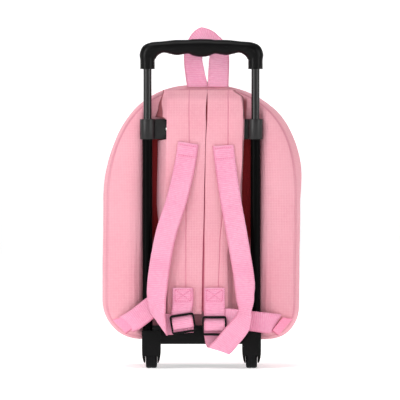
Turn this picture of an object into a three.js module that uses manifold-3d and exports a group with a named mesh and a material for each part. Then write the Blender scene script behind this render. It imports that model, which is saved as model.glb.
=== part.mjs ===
// A child's trolley backpack: a domed polyester bag on a small telescopic trolley.
// The back of the bag, with its webbing straps and the trolley tubes, faces -Y. The bag's front faces +Y.
// Millimetres, +Z up, standing on two rear wheels and two front feet at Z = 0.
// Each place along Y below is counted from the seam where the side wall meets the back panel.
import * as THREE from "three";
import { mergeVertices } from "three/addons/utils/BufferGeometryUtils.js";
import Module from "manifold-3d";

const wasm = await Module();
wasm.setup();

// Room left between pieces that are sewn, clamped or laid against each other.
const gap = 0.3;

// The bag
const bagWidth = 240;
const bagBottom = 35.4; // underside of the bag, above the floor
const bagTop = 347; // crown of the bag, above the floor
const wallDepth = 82; // side wall, from the back seam to the front seam
const frontDome = 20; // how far the front panel swells past the front seam
const fabricWall = 2.2; // coated polyester on its foam
const springLine = 200; // height where the straight sides turn into the arch
const archPower = 2.45; // 2 is an ellipse, higher is squarer
const cornerWidth = 50; // lower corners, across and up
const cornerHeight = 48;
const seamInset = 4.5; // the seams lie inside the swollen side wall
const lobeSwell = 8; // the back panel's two padded sides stand this far out
const lobeStart = 78; // the padded sides begin here, outside the tubes

// The zip in the side wall
const zipPlace = 62; // middle of the zip, from the back seam
const zipWidth = 8;
const zipEnd = 104; // height where the zip stops on each side
const tapeThickness = 1.1;
const coilWidth = 3.2;
const coilHeight = 1.4;
const sliderLength = 11;
const sliderWidth = 7.5;
const sliderHeight = 3.6;
const pullLength = 24;
const pullWidth = 7;
const pullThickness = 1.6;
const sliderApart = 5; // between the two sliders, either side of the crown

// The trolley's tubes and grip
const tubeSpacing = 132;
const tubePlace = -12.5; // tube axis, behind the back seam
const outerTubeRadius = 6;
const outerTubeWall = 0.65;
const innerTubeRadius = 5;
const innerTubeWall = 0.8;
const tubeFoot = 36.6; // lower end of the outer tube, in the base's socket
const tubeOverlap = 238; // length of the inner tube that sits in the outer one, handle down
const gripFoot = 366.1; // lower rim of the grip's sleeves
const gripTop = 402.4;
const gripSleeveRadius = 8.9;
const gripHalfDepth = 9;
const gripSocketDepth = 22;
const gripPinRadius = 1.9;
const gripPinRise = 3.4; // above the sleeve's rim

// The bracket that clamps the tubes to the back panel
const bracketFoot = 280.4;
const bracketHeight = 24.5;
const bracketSleeveRadius = 9.3;
const bracketPlate = 3;
const rivetSpread = 82; // between the two rivets
const rivetHeadRadius = 3.4;
const rivetHeadHeight = 2.2;
const rivetShankRadius = 2;
const rivetBossRadius = 6.6;
const rivetBossHeight = 0.9;

// The base with its wheel housings and feet
const baseThickness = 5.4;
const baseDepth = 104; // platform under the bag, front to back
const baseWidth = 132;
const basePlace = -14; // rear face of the apron
const apronThickness = 3.4;
const apronTop = 52.5;
const housingSpread = 122.6; // between the middles of the two wheel housings
const housingWidth = 23;
const housingTipWidth = 17.6; // the cheeks draw in towards the floor
const housingRear = -24.5;
const housingFront = 16;
const housingTop = 46.4;
const housingTip = 7.2; // lower end of the cheeks
const housingRearLip = 15.6; // lower edge of the rear wall, which shows the wheel
const housingWall = 3;
const footWidth = 13;
const footDepth = 11;
const wheelRadius = 16;
const wheelWidth = 13.6;
const wheelPlace = -4;
const wheelBoreRadius = 3;
const axleRadius = 2.6;

// The centre bands, two flaps with a slit between them, which cover the bracket
const bandHem = 66.6;
const bandTop = 340.6;
const bandFront = -19; // outer face of the bands, from the back seam
const slitPlace = 5.5;
const slitWidth = 1.8;
const bandReachLeft = 54.5;
const bandReachRight = 50;
const bandThickness = 2;
const notchLeft = 41; // the bracket leaves the left band here
const notchRight = 46;

// Webbing
const webbingWidth = 25;
const webbingThickness = 1.3;
const anchorLeft = -15.9; // middle of each shoulder strap's sewn top end
const anchorRight = 26.3;
const anchorHeight = 276;
const strapLift = 8; // how far the slack straps stand off the bands
const tailTop = 99.1; // upper end of the strap tails
const loopLeft = -5.5; // the carry loop's two sewn ends
const loopRight = 20.5;
const loopRise = 62; // from the seam to the middle of the webbing over the top
const loopDepth = 9;
const loopSeat = 2; // from the back seam to the loop's sewn ends

// Three-bar buckles
const buckleWidth = 30;
const buckleHeight = 24;
const buckleThickness = 2.6;
const buckleSide = 2.1;
const buckleBar = 3;
const buckleLeft = { x: -22.7, z: 55.4, tilt: 9 };
const buckleRight = { x: 15.8, z: 52.6, tilt: 0 };

// Derived places
const halfSpacing = tubeSpacing / 2;
const panelBack = -gap - fabricWall; // outer face of the back panel where it is flat
const bracketTop = bracketFoot + bracketHeight;
const strapPlace = bandFront - gap - webbingThickness / 2;
const layer = webbingThickness + gap; // from one layer of webbing to the next
const tabPlace = strapPlace - 2 * layer; // the tab's upper layer
const bucklePlace = tabPlace - webbingThickness / 2 - gap - buckleThickness / 2;
const axleHeight = wheelRadius;
const housingHalfSpread = housingSpread / 2;

// Fabric and hardware, as MeshStandardMaterials
const fabric = new THREE.MeshStandardMaterial({ color: 0xf4a9b8, roughness: 0.85 });
const webbing = new THREE.MeshStandardMaterial({ color: 0xf7a0c4, roughness: 0.8 });
const zipTape = new THREE.MeshStandardMaterial({ color: 0xf08fb4, roughness: 0.7 });
const plastic = new THREE.MeshStandardMaterial({ color: 0x1b1b1c, roughness: 0.45 });
const paintedSteel = new THREE.MeshStandardMaterial({ color: 0x101012, roughness: 0.2, metalness: 0.4 });
const nickel = new THREE.MeshStandardMaterial({ color: 0xd8d8d8, roughness: 0.25, metalness: 1 });
const tyrePlastic = new THREE.MeshStandardMaterial({ color: 0x202021, roughness: 0.6 });

const v = (x, y, z) => new THREE.Vector3(x, y, z);
const mix = THREE.MathUtils.lerp;
const clamp01 = (value) => THREE.MathUtils.clamp(value, 0, 1);
const round = 20; // sides of a tube

// A geometry with its faces turned outwards
function facingOut(positions, index) {
  let volume = 0;
  for (let i = 0; i < index.length; i += 3) {
    const [a, b, c] = [0, 1, 2].map((k) => new THREE.Vector3().fromArray(positions, index[i + k] * 3));
    volume += a.dot(b.cross(c));
  }
  if (volume < 0) index.reverse();
  const geometry = new THREE.BufferGeometry();
  geometry.setAttribute("position", new THREE.Float32BufferAttribute(positions, 3));
  geometry.setIndex(index);
  return geometry;
}

// Rings of points joined one to the next. The ends close on a middle point each, or the last ring meets the first.
function loft(rings, endless = false) {
  const count = rings[0].length;
  const positions = rings.flat().flatMap((p) => [p.x, p.y, p.z]);
  const index = [];
  const spans = endless ? rings.length : rings.length - 1;
  for (let r = 0; r < spans; r++) {
    const next = (r + 1) % rings.length;
    for (let k = 0; k < count; k++) {
      const after = (k + 1) % count;
      const corners = [r * count + k, r * count + after, next * count + after, next * count + k];
      index.push(corners[0], corners[1], corners[2], corners[0], corners[2], corners[3]);
    }
  }
  if (!endless) {
    for (const r of [0, rings.length - 1]) {
      const middle = rings[r].reduce((sum, p) => sum.add(p), v(0, 0, 0)).divideScalar(count);
      const hub = positions.length / 3;
      positions.push(middle.x, middle.y, middle.z);
      for (let k = 0; k < count; k++) {
        const edge = [r * count + k, r * count + ((k + 1) % count)];
        index.push(hub, ...(r === 0 ? edge.reverse() : edge));
      }
    }
  }
  return facingOut(positions, index);
}

// A wall between two grids of points with equal rows and columns
function sheet(outer, inner) {
  const rows = outer.length;
  const columns = outer[0].length;
  const positions = [...outer.flat(), ...inner.flat()].flatMap((p) => [p.x, p.y, p.z]);
  const at = (face, r, c) => face * rows * columns + r * columns + c;
  const index = [];
  const quad = (a, b, c, d) => index.push(a, b, c, a, c, d);
  for (let r = 0; r < rows - 1; r++) {
    for (let c = 0; c < columns - 1; c++) {
      quad(at(0, r, c), at(0, r, c + 1), at(0, r + 1, c + 1), at(0, r + 1, c));
      quad(at(1, r, c), at(1, r + 1, c), at(1, r + 1, c + 1), at(1, r, c + 1));
    }
    quad(at(0, r, 0), at(0, r + 1, 0), at(1, r + 1, 0), at(1, r, 0));
    quad(at(0, r, columns - 1), at(1, r, columns - 1), at(1, r + 1, columns - 1), at(0, r + 1, columns - 1));
  }
  for (let c = 0; c < columns - 1; c++) {
    quad(at(0, 0, c), at(1, 0, c), at(1, 0, c + 1), at(0, 0, c + 1));
    quad(at(0, rows - 1, c), at(0, rows - 1, c + 1), at(1, rows - 1, c + 1), at(1, rows - 1, c));
  }
  return facingOut(positions, index);
}

// Booleans: a geometry becomes a manifold solid and comes back
function solid(geometry) {
  const bare = geometry.index ? geometry.toNonIndexed() : geometry.clone();
  bare.deleteAttribute("normal");
  bare.deleteAttribute("uv");
  const merged = mergeVertices(bare, 1e-3);
  return new wasm.Manifold(
    new wasm.Mesh({
      numProp: 3,
      vertProperties: merged.attributes.position.array,
      triVerts: new Uint32Array(merged.index.array),
    }),
  );
}
function shown(made) {
  const mesh = made.getMesh();
  const geometry = new THREE.BufferGeometry();
  geometry.setAttribute("position", new THREE.Float32BufferAttribute(mesh.vertProperties, mesh.numProp));
  geometry.setIndex([...mesh.triVerts]);
  return geometry;
}
const joined = (...geometries) => geometries.map(solid).reduce((a, b) => a.add(b));
const cut = (made, ...geometries) => geometries.map(solid).reduce((a, b) => a.subtract(b), made);

// Simple solids, given by their corners or their ends
function block(x, y, z) {
  const geometry = new THREE.BoxGeometry(x[1] - x[0], y[1] - y[0], z[1] - z[0]);
  return geometry.translate((x[0] + x[1]) / 2, (y[0] + y[1]) / 2, (z[0] + z[1]) / 2);
}
function post(radius, x, y, z, sides = round) {
  const geometry = new THREE.CylinderGeometry(radius, radius, z[1] - z[0], sides);
  return geometry.rotateX(Math.PI / 2).translate(x, y, (z[0] + z[1]) / 2);
}
function studAlongY(radius, x, y, z, sides = 12) {
  const geometry = new THREE.CylinderGeometry(radius, radius, y[1] - y[0], sides);
  return geometry.translate(x, (y[0] + y[1]) / 2, z);
}
function barAlongX(radius, x, y, z, sides = 16) {
  const geometry = new THREE.CylinderGeometry(radius, radius, x[1] - x[0], sides);
  return geometry.rotateZ(Math.PI / 2).translate((x[0] + x[1]) / 2, y, z);
}
// A profile of [radius, height] pairs, turned about Z
function turned(profile, sides = round) {
  const closed = [...profile, profile[0]].map(([r, h]) => new THREE.Vector2(r, h));
  return new THREE.LatheGeometry(closed, sides).rotateX(Math.PI / 2);
}

// The bag's outline seen from behind, drawn in by inset: half of it, from the middle of the bottom to the crown
function halfOutline(inset) {
  const halfWidth = bagWidth / 2 - inset;
  const bottom = bagBottom + inset;
  const across = Math.max(cornerWidth - inset, 2);
  const up = Math.max(cornerHeight - inset, 2);
  const archHeight = bagTop - inset - springLine;
  const points = [
    [0, bottom],
    [(halfWidth - across) / 2, bottom],
  ];
  const cornerSteps = 5;
  for (let k = 0; k <= cornerSteps; k++) {
    const turn = (k / cornerSteps) * (Math.PI / 2);
    points.push([halfWidth - across + across * Math.sin(turn), bottom + up - up * Math.cos(turn)]);
  }
  const sideSteps = 3;
  for (let k = 1; k <= sideSteps; k++) points.push([halfWidth, mix(bottom + up, springLine, k / sideSteps)]);
  const archSteps = 9;
  for (let k = 1; k <= archSteps; k++) {
    const turn = (Math.PI / 2) * (1 - (1 - k / archSteps) ** 1.2);
    const x = halfWidth * Math.abs(Math.cos(turn)) ** (2 / archPower);
    points.push([k === archSteps ? 0 : x, springLine + archHeight * Math.sin(turn) ** (2 / archPower)]);
  }
  return points;
}
function outline(inset, y) {
  const half = halfOutline(inset);
  const mirrored = half.slice(1, -1).reverse();
  return [...half.map(([x, z]) => v(x, y, z)), ...mirrored.map(([x, z]) => v(-x, y, z))];
}

// The side wall's section: how far it is drawn in at each place between the seams
const wallSection = [
  { inset: 1, along: 0 },
  { inset: 0.3, along: 0.11 },
  { inset: 0, along: 0.29 },
  { inset: 0, along: 0.5 },
  { inset: 0.25, along: 0.7 },
  { inset: 0.5, along: 0.81 },
  { inset: 1, along: 1 },
];
function wallInset(y) {
  const along = y / wallDepth;
  const k = Math.max(1, wallSection.findIndex((s) => s.along >= along));
  const [a, b] = [wallSection[k - 1], wallSection[k]];
  return seamInset * mix(a.inset, b.inset, (along - a.along) / (b.along - a.along));
}

function sideWall() {
  const outer = wallSection.map((s) => outline(s.inset * seamInset, s.along * wallDepth));
  const inner = wallSection.map((s) => outline(s.inset * seamInset + fabricWall, s.along * wallDepth));
  const ring = solid(loft([...outer, ...inner.reverse()], true));
  const far = bagWidth;
  const slot = block([-far, far], [zipPlace - zipWidth / 2, zipPlace + zipWidth / 2], [zipEnd, bagTop + far]);
  return shown(cut(ring, slot));
}

function zipChain() {
  const half = zipWidth / 2 - gap;
  const inset = wallInset(zipPlace);
  const section = [
    { out: 0, y: -half },
    { out: 0, y: -coilWidth / 2 },
    { out: coilHeight, y: -coilWidth / 4 },
    { out: coilHeight, y: coilWidth / 4 },
    { out: 0, y: coilWidth / 2 },
    { out: 0, y: half },
    { out: -tapeThickness, y: half },
    { out: -tapeThickness, y: -half },
  ];
  const ring = solid(loft(section.map((s) => outline(inset - s.out, zipPlace + s.y)), true));
  const far = bagWidth;
  return shown(ring.intersect(solid(block([-far, far], [0, wallDepth], [zipEnd + gap, bagTop + far]))));
}

// A slider with its pull hanging over the front of the bag
function zipSlider(side) {
  const x = (side * (sliderApart + sliderLength)) / 2;
  const seat = bagTop - wallInset(zipPlace) + coilHeight + gap;
  const body = block(
    [x - sliderLength / 2, x + sliderLength / 2],
    [zipPlace - sliderWidth / 2, zipPlace + sliderWidth / 2],
    [seat, seat + sliderHeight],
  );
  const pull = block([-pullWidth / 2, pullWidth / 2], [0, pullLength], [-pullThickness, 0]);
  pull.rotateX(THREE.MathUtils.degToRad(-14));
  pull.translate(x, zipPlace, seat + sliderHeight);
  return shown(joined(body, pull));
}

// The padded sides of the back panel, fading out where the arch leaves them no room
function lobe(x, halfWidth) {
  const room = halfWidth - lobeStart;
  const share = clamp01((Math.abs(x) - lobeStart) / Math.max(room, 1));
  return lobeSwell * clamp01(room / 30) * Math.sin(Math.PI * share ** 0.8);
}

// The panel's columns: shares of the flat middle, then of the padded side
const flatColumns = [0, 0.45, 0.8, 1];
const lobeColumns = [0.14, 0.34, 0.58, 0.8, 1];
function backPanel() {
  const rows = halfOutline(seamInset).slice(2, -1);
  const places = (w) => {
    const flat = Math.min(lobeStart, 0.93 * w);
    const half = [...flatColumns.map((s) => s * flat), ...lobeColumns.map((s) => mix(flat, w, s))];
    return [...half.slice(1).reverse().map((x) => -x), ...half];
  };
  const face = (back) => rows.map(([w, z]) => places(w).map((x) => v(x, back - lobe(x, w), z)));
  const made = solid(sheet(face(panelBack), face(-gap)));
  const holes = [-1, 1].map((side) =>
    studAlongY(
      rivetShankRadius + gap,
      (side * rivetSpread) / 2,
      [panelBack - fabricWall, fabricWall],
      bracketFoot + bracketHeight / 2,
    ),
  );
  return shown(cut(made, ...holes));
}

// The front panel's dome: how far in and how far out each ring lies
const domeSection = [
  { inset: seamInset, rise: 0 },
  { inset: 8, rise: 0.36 },
  { inset: 17, rise: 0.68 },
  { inset: 34, rise: 0.88 },
  { inset: 58, rise: 0.97 },
  { inset: 84, rise: 1 },
];
function frontPanel() {
  const place = wallDepth + gap;
  const outer = domeSection.map((s) => outline(s.inset, place + s.rise * frontDome));
  const inner = domeSection.map((s, k) =>
    outline(s.inset + (k < 2 ? fabricWall : 0), place + Math.max(s.rise * frontDome - (k === 0 ? 0 : fabricWall), 0)),
  );
  return loft([...outer.reverse(), ...inner]);
}

// One centre band, by rows from the hem to the top seam: how wide it reaches, how far its face stands out, and how
// far its outer edge stands off the panel, as shares of the band's reach and depth
const bandRows = [
  { rise: 0, reach: 0.78, stand: 0.94, edge: 0.55 },
  { rise: 0.12, reach: 0.82, stand: 0.97, edge: 0.5 },
  { rise: 0.25, reach: 0.92, stand: 1, edge: 0.2 },
  { rise: 0.5, reach: 1, stand: 1, edge: 0 },
  { rise: 0.77, reach: 0.98, stand: 1, edge: 0 },
  { rise: 0.87, reach: 1.03, stand: 0.92, edge: 0 },
  { rise: 0.95, reach: 0.93, stand: 0.5, edge: 0 },
  { rise: 1, reach: 0.85, stand: 0, edge: 0 },
];
const bandAcross = [
  { share: 0, depth: 0.86 },
  { share: 0.12, depth: 0.97 },
  { share: 0.4, depth: 1 },
  { share: 0.72, depth: 0.98 },
  { share: 0.86, depth: 0.7 },
  { share: 1, depth: 0 },
];
function band(side, reach, notch) {
  const seat = panelBack - gap;
  const depth = seat - bandThickness - bandFront;
  const start = slitPlace + (side * slitWidth) / 2;
  const face = (thickness) =>
    bandRows.map((row) =>
      bandAcross.map(({ share, depth: deep }) => {
        const stand = row.stand * Math.max(deep, row.edge);
        const x = mix(start, side * reach * row.reach, share);
        return v(x, seat - thickness - depth * stand, mix(bandHem, bandTop, row.rise));
      }),
    );
  const made = solid(sheet(face(bandThickness), face(0)));
  const far = bagWidth;
  const opening = [bracketFoot - 4 * gap, bracketTop + 4 * gap];
  const sides = side < 0 ? [-far, -notch] : [notch, far];
  return shown(cut(made, block(sides, [-far, far], opening)));
}

// Webbing: a flat ribbon along a smooth curve through rows of { x, y, z, wide }, where wide is the way its width points
function ribbon(rows, steps) {
  const line = new THREE.CatmullRomCurve3(rows.map((r) => v(r.x, r.y, r.z)), false, "centripetal");
  const widths = new THREE.CatmullRomCurve3(rows.map((r) => v(...r.wide)), false, "catmullrom", 0.4);
  const stretches = new THREE.CatmullRomCurve3(rows.map((r) => v(r.stretch ?? 1, 0, 0)), false, "catmullrom", 0.4);
  const rings = [];
  for (let k = 0; k <= steps; k++) {
    const t = k / steps;
    const middle = line.getPoint(t);
    const along = line.getTangent(t);
    const wide = widths.getPoint(t).normalize();
    const face = along.clone().cross(wide).normalize();
    const corner = (a, b) =>
      middle
        .clone()
        .addScaledVector(wide, (a * webbingWidth * stretches.getPoint(t).x) / 2)
        .addScaledVector(face, (b * webbingThickness) / 2);
    rings.push([corner(-1, -1), corner(1, -1), corner(1, 1), corner(-1, 1)]);
  }
  return loft(rings);
}

// A place on a buckle's own axes: across and up as shares of its opening, out towards -Y
function onBuckle(buckle, across, up, y, wide = [1, 0, 0]) {
  const turn = THREE.MathUtils.degToRad(buckle.tilt);
  const [cos, sin] = [Math.cos(turn), Math.sin(turn)];
  const [dx, dz] = [across * buckleWidth, up * buckleHeight];
  return {
    x: buckle.x + dx * cos - dz * sin,
    y,
    z: buckle.z + dx * sin + dz * cos,
    wide: [wide[0] * cos - wide[2] * sin, wide[1], wide[0] * sin + wide[2] * cos],
  };
}

// The right strap's last stretch runs up behind its buckle and under the tab's box stitch
function strapEnd(buckle) {
  return [
    onBuckle(buckle, 0, -0.4, strapPlace),
    onBuckle(buckle, 0, 0, strapPlace),
    onBuckle(buckle, 0, 0.4, strapPlace),
    { x: buckle.x, y: strapPlace, z: mix(buckle.z + buckleHeight / 2, tailTop, 0.35), wide: [1, 0, 0] },
    { x: buckle.x, y: strapPlace, z: tailTop - 2, wide: [1, 0, 0] },
  ];
}

// The tab comes down the band, passes behind the buckle's upper bar, folds over the middle bar and runs back up
function tab(buckle) {
  const behind = tabPlace;
  const fold = bucklePlace - buckleThickness / 2 - gap - webbingThickness / 2;
  const under = bucklePlace + buckleThickness / 2 + gap + webbingThickness / 2 + layer;
  const bar = buckleBar / buckleHeight;
  return ribbon(
    [
      { x: buckle.x, y: behind, z: tailTop, wide: [1, 0, 0] },
      { x: buckle.x, y: behind, z: mix(buckle.z + buckleHeight / 2, tailTop, 0.4), wide: [1, 0, 0] },
      onBuckle(buckle, 0, 0.5, behind),
      onBuckle(buckle, 0, 0.37, behind - 0.2),
      onBuckle(buckle, 0, 0.22, mix(behind, fold, 0.55)),
      onBuckle(buckle, 0, 0.09, fold),
      onBuckle(buckle, 0, -0.05, fold),
      onBuckle(buckle, 0, -0.08 - bar, mix(fold, under, 0.35)),
      onBuckle(buckle, 0, -0.09 - bar, mix(fold, under, 0.75)),
      onBuckle(buckle, 0, -0.03, under),
      onBuckle(buckle, 0, 0.25, under),
      onBuckle(buckle, 0, 0.5, under),
      { x: buckle.x, y: strapPlace - layer, z: mix(buckle.z + buckleHeight / 2, tailTop, 0.4), wide: [1, 0, 0] },
      { x: buckle.x, y: strapPlace - layer, z: tailTop - 1, wide: [1, 0, 0] },
    ],
    38,
  );
}

// The slack stretches of the shoulder straps: across as a share of half the tube spacing, rise as a share of the
// height from the hem to the sewn end, out as a share of the strap's lift
const leftSlack = [
  { across: -0.3, rise: 0.88, out: 0.1, wide: [1, 0, -0.16] },
  { across: -0.46, rise: 0.665, out: 0.75, wide: [1, 0, -0.24] },
  { across: -0.64, rise: 0.49, out: 1, wide: [1, 0, -0.2] },
  { across: -0.74, rise: 0.343, out: 1.05, wide: [1, 0, -0.1] },
  { across: -0.795, rise: 0.23, out: 1.05, wide: [1, 0, -0.02] },
  { across: -0.82, rise: 0.152, out: 1.05, wide: [0.97, -0.2, 0] },
  { across: -0.832, rise: 0.083, out: 1.1, wide: [0.88, -0.4, -0.1] },
  { across: -0.825, rise: 0.02, out: 1.2, wide: [0.8, -0.25, -0.5] },
  { across: -0.8, rise: -0.035, out: 1.1, wide: [0.66, -0.05, -0.74], stretch: 1.2 },
  { across: -0.772, rise: -0.06, out: 0.7, wide: [0.566, 0, -0.824], stretch: 1.28 },
  { across: -0.73, rise: -0.057, out: 0.33, wide: [0.4, 0, -0.92], stretch: 1.12 },
  { across: -0.6, rise: -0.06, out: 0.03, wide: [0.05, 0, -1] },
];
const rightSlack = [
  { across: 0.44, rise: 0.88, out: 0.1, wide: [1, 0, 0.1] },
  { across: 0.54, rise: 0.665, out: 0.7, wide: [1, 0, 0.16] },
  { across: 0.64, rise: 0.49, out: 1, wide: [1, 0, 0.16] },
  { across: 0.72, rise: 0.343, out: 1.15, wide: [1, 0, 0.14] },
  { across: 0.79, rise: 0.2, out: 1.35, wide: [1, -0.1, 0.05] },
  { across: 0.805, rise: 0.1, out: 1.8, wide: [0.85, -0.5, 0] },
  { across: 0.8, rise: 0.02, out: 2.3, wide: [0.6, -0.8, -0.08] },
  { across: 0.775, rise: -0.027, out: 2.3, wide: [0.66, -0.65, -0.38] },
  { across: 0.697, rise: -0.072, out: 1.95, wide: [0.76, -0.25, -0.6] },
  { across: 0.56, rise: -0.126, out: 1.5, wide: [0.77, -0.02, -0.64] },
  { across: 0.417, rise: -0.18, out: 1.25, wide: [0.82, 0, -0.57] },
  { across: 0.345, rise: -0.202, out: 1.1, wide: [0.88, 0, -0.47], stretch: 1.02 },
  { across: 0.312, rise: -0.208, out: 0.62, wide: [0.96, 0, -0.28], stretch: 1.04 },
  { across: 0.285, rise: -0.2, out: 0.15, wide: [0.98, 0, -0.2] },
  { across: 0.26, rise: -0.165, out: 0.01, wide: [0.99, 0, -0.1] },
];
function slackRows(rows) {
  return rows.map(({ across, rise, out, wide, stretch }) => ({
    x: across * halfSpacing,
    y: strapPlace - out * strapLift,
    z: mix(bandHem, anchorHeight, rise),
    wide,
    stretch,
  }));
}
function shoulderStraps() {
  const sewnLeft = { x: anchorLeft, y: strapPlace, z: anchorHeight, wide: [1, 0, -0.16] };
  const sewnRight = { x: anchorRight, y: strapPlace, z: anchorHeight - 3, wide: [1, 0, 0.07] };
  const left = [
    sewnLeft,
    ...slackRows(leftSlack),
    { x: buckleLeft.x - buckleWidth * 0.25, y: strapPlace + gap, z: buckleLeft.z - 2.5, wide: [0, 0, -1] },
    { x: buckleLeft.x + buckleWidth * 0.2, y: strapPlace + gap, z: buckleLeft.z - 1.5, wide: [0, 0, -1] },
  ];
  const right = [
    sewnRight,
    ...slackRows(rightSlack),
    ...strapEnd(buckleRight),
  ];
  return [
    ["shoulder_strap_left", ribbon(left, 62)],
    ["shoulder_strap_right", ribbon(right, 72)],
  ];
}

function buckle({ x, z, tilt }) {
  const frame = (w, h) => {
    const shape = new THREE.Shape();
    const r = Math.min(w, h) * 0.16;
    shape.moveTo(-w / 2 + r, -h / 2);
    shape.lineTo(w / 2 - r, -h / 2);
    shape.quadraticCurveTo(w / 2, -h / 2, w / 2, -h / 2 + r);
    shape.lineTo(w / 2, h / 2 - r);
    shape.quadraticCurveTo(w / 2, h / 2, w / 2 - r, h / 2);
    shape.lineTo(-w / 2 + r, h / 2);
    shape.quadraticCurveTo(-w / 2, h / 2, -w / 2, h / 2 - r);
    shape.lineTo(-w / 2, -h / 2 + r);
    shape.quadraticCurveTo(-w / 2, -h / 2, -w / 2 + r, -h / 2);
    return shape;
  };
  const shape = frame(buckleWidth, buckleHeight);
  const opening = { w: buckleWidth / 2 - buckleSide, h: buckleHeight / 2 - buckleBar };
  for (const side of [-1, 1]) {
    const hole = new THREE.Path();
    const near = (side * buckleBar) / 2;
    const far = side * opening.h;
    hole.moveTo(-opening.w, near);
    hole.lineTo(opening.w, near);
    hole.lineTo(opening.w, far);
    hole.lineTo(-opening.w, far);
    hole.closePath();
    shape.holes.push(hole);
  }
  const geometry = new THREE.ExtrudeGeometry(shape, { depth: buckleThickness, bevelEnabled: false, curveSegments: 4 });
  geometry.translate(0, 0, -buckleThickness / 2).rotateX(Math.PI / 2);
  geometry.rotateY(THREE.MathUtils.degToRad(-tilt));
  return geometry.translate(x, bucklePlace, z);
}

// Half the back panel's width at a height, by its outline
function halfWidthAt(z) {
  const points = halfOutline(seamInset).slice(1);
  const k = Math.max(1, points.findIndex((p) => p[1] >= z));
  const [a, b] = [points[k - 1], points[k]];
  return mix(a[0], b[0], clamp01((z - a[1]) / Math.max(b[1] - a[1], 0.01)));
}
function panelFace(x, z) {
  return panelBack - lobe(x, halfWidthAt(z));
}

// The lower webbing on each side runs from a fabric patch on the bag's bottom corner, over the trolley leg, to the
// shoulder strap's end. along and up are shares of the run's length and of the webbing's width; stand is the share of
// the way from the patch out to clear of the wheel housing, which the webbing has at the latest beside the tube
const cornerRun = {
  left: [
    { along: 0, up: 0, stand: 0, wide: [0.68, 0, -0.73] },
    { along: 0.3, up: 0.24, stand: 0.7, wide: [0.6, 0, -0.8] },
    { along: 0.55, up: 0.5, stand: 0.69, wide: [0.54, 0, -0.84] },
    { along: 0.8, up: 0.78, stand: 0.67, wide: [0.54, 0, -0.84] },
    { along: 1, up: 0.98, stand: 0.6, wide: [0.5, 0, -0.86] },
  ],
  right: [
    { along: 0, up: 0.05, stand: 0, wide: [0.45, 0, 0.89] },
    { along: 0.14, up: 0.07, stand: 0.6, wide: [0.3, 0, 0.95] },
    { along: 0.28, up: 0.12, stand: 1.08, wide: [-0.05, 0, 1] },
    { along: 0.48, up: 0.18, stand: 1.08, wide: [-0.17, 0, 1] },
    { along: 0.7, up: 0.25, stand: 1.03, wide: [-0.17, 0, 1] },
    { along: 0.86, up: 0.28, stand: 0.85, wide: [-0.1, 0, 1] },
    { along: 1, up: 0.28, stand: 0.75, wide: [0, 0, 1] },
  ],
};
const cornerStart = { x: bagWidth / 2 - cornerWidth * 0.56, z: bagBottom + cornerHeight * 0.38 };
const cornerPatchDepth = 5 * gap + fabricWall / 2;
function cornerStrap(side) {
  const run = side < 0 ? cornerRun.left : cornerRun.right;
  const end = side < 0 ? buckleLeft.x - buckleWidth * 1.12 : buckleRight.x + webbingWidth / 2 + gap;
  const near = panelFace(cornerStart.x, cornerStart.z) - cornerPatchDepth;
  const clear = housingRear - gap - webbingThickness / 2;
  const toTube = cornerStart.x - halfSpacing - outerTubeRadius - webbingThickness;
  const rows = run.map(({ along, up, stand, wide }) => {
    const x = mix(side * cornerStart.x, end, along);
    const reach = clamp01((cornerStart.x - Math.abs(x)) / toTube);
    return { x, y: mix(near, clear, stand * reach), z: cornerStart.z + up * webbingWidth, wide };
  });
  return ribbon(rows, 20);
}

// The patch that holds the webbing's end: a short wall from the bag's corner seam to the webbing
function cornerPatch(side) {
  const half = webbingWidth / 2;
  const [wx, , wz] = (side < 0 ? cornerRun.left : cornerRun.right)[0].wide;
  const inner = [-1, 1].map((k) => [side * cornerStart.x + k * half * wx, cornerStart.z + k * half * wz]);
  inner.sort((a, b) => a[1] - b[1]);
  const seam = halfOutline(seamInset + 1.5);
  const outer = [seam[4], seam[6]].map(([x, z]) => [side * x, z]);
  const rows = [0, 0.33, 0.67, 1];
  const columns = [0.26, 0.47, 0.72, 1];
  const face = (lift) =>
    rows.map((r) =>
      columns.map((c) => {
        const x = mix(mix(inner[0][0], inner[1][0], r), mix(outer[0][0], outer[1][0], r), c);
        const z = mix(mix(inner[0][1], inner[1][1], r), mix(outer[0][1], outer[1][1], r), c);
        return v(x, panelFace(x, z) - lift, z);
      }),
    );
  return sheet(face(cornerPatchDepth + fabricWall / 2), face(cornerPatchDepth - fabricWall / 2));
}

function carryLoop() {
  const foot = bagTop - wallInset(loopSeat + webbingThickness) + 2 * gap;
  const middle = (loopLeft + loopRight) / 2;
  const reach = (loopRight - loopLeft) / 2;
  const rows = [
    { across: -1, rise: 0, back: 0, wide: [1, 0, 0] },
    { across: -1, rise: 0.06, back: 0.02, wide: [1, 0, 0] },
    { across: -1.2, rise: 0.3, back: 0.15, wide: [0.92, -0.3, 0] },
    { across: -1.36, rise: 0.6, back: 0.4, wide: [0.86, -0.45, -0.05] },
    { across: -1.22, rise: 0.8, back: 0.8, wide: [0.8, -0.45, -0.3] },
    { across: -0.8, rise: 0.98, back: 1.15, wide: [0.62, -0.5, -0.6] },
    { across: -0.1, rise: 1.03, back: 1.5, wide: [0.35, -0.45, -0.82] },
    { across: 0.62, rise: 0.93, back: 1.5, wide: [-0.05, -0.62, -0.78] },
    { across: 1, rise: 0.76, back: 1.1, wide: [-0.6, -0.6, -0.5] },
    { across: 1.06, rise: 0.5, back: 0.5, wide: [-0.95, -0.2, -0.2] },
    { across: 1.03, rise: 0.25, back: 0.15, wide: [-1, 0, 0] },
    { across: 1, rise: 0.06, back: 0.02, wide: [-1, 0, 0] },
    { across: 1, rise: 0, back: 0, wide: [-1, 0, 0] },
  ].map(({ across, rise, back, wide }) => ({
    x: middle + across * reach,
    y: loopSeat + back * loopDepth,
    z: foot + rise * (loopRise - webbingWidth * 0.1),
    wide,
  }));
  return ribbon(rows, 30);
}

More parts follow.
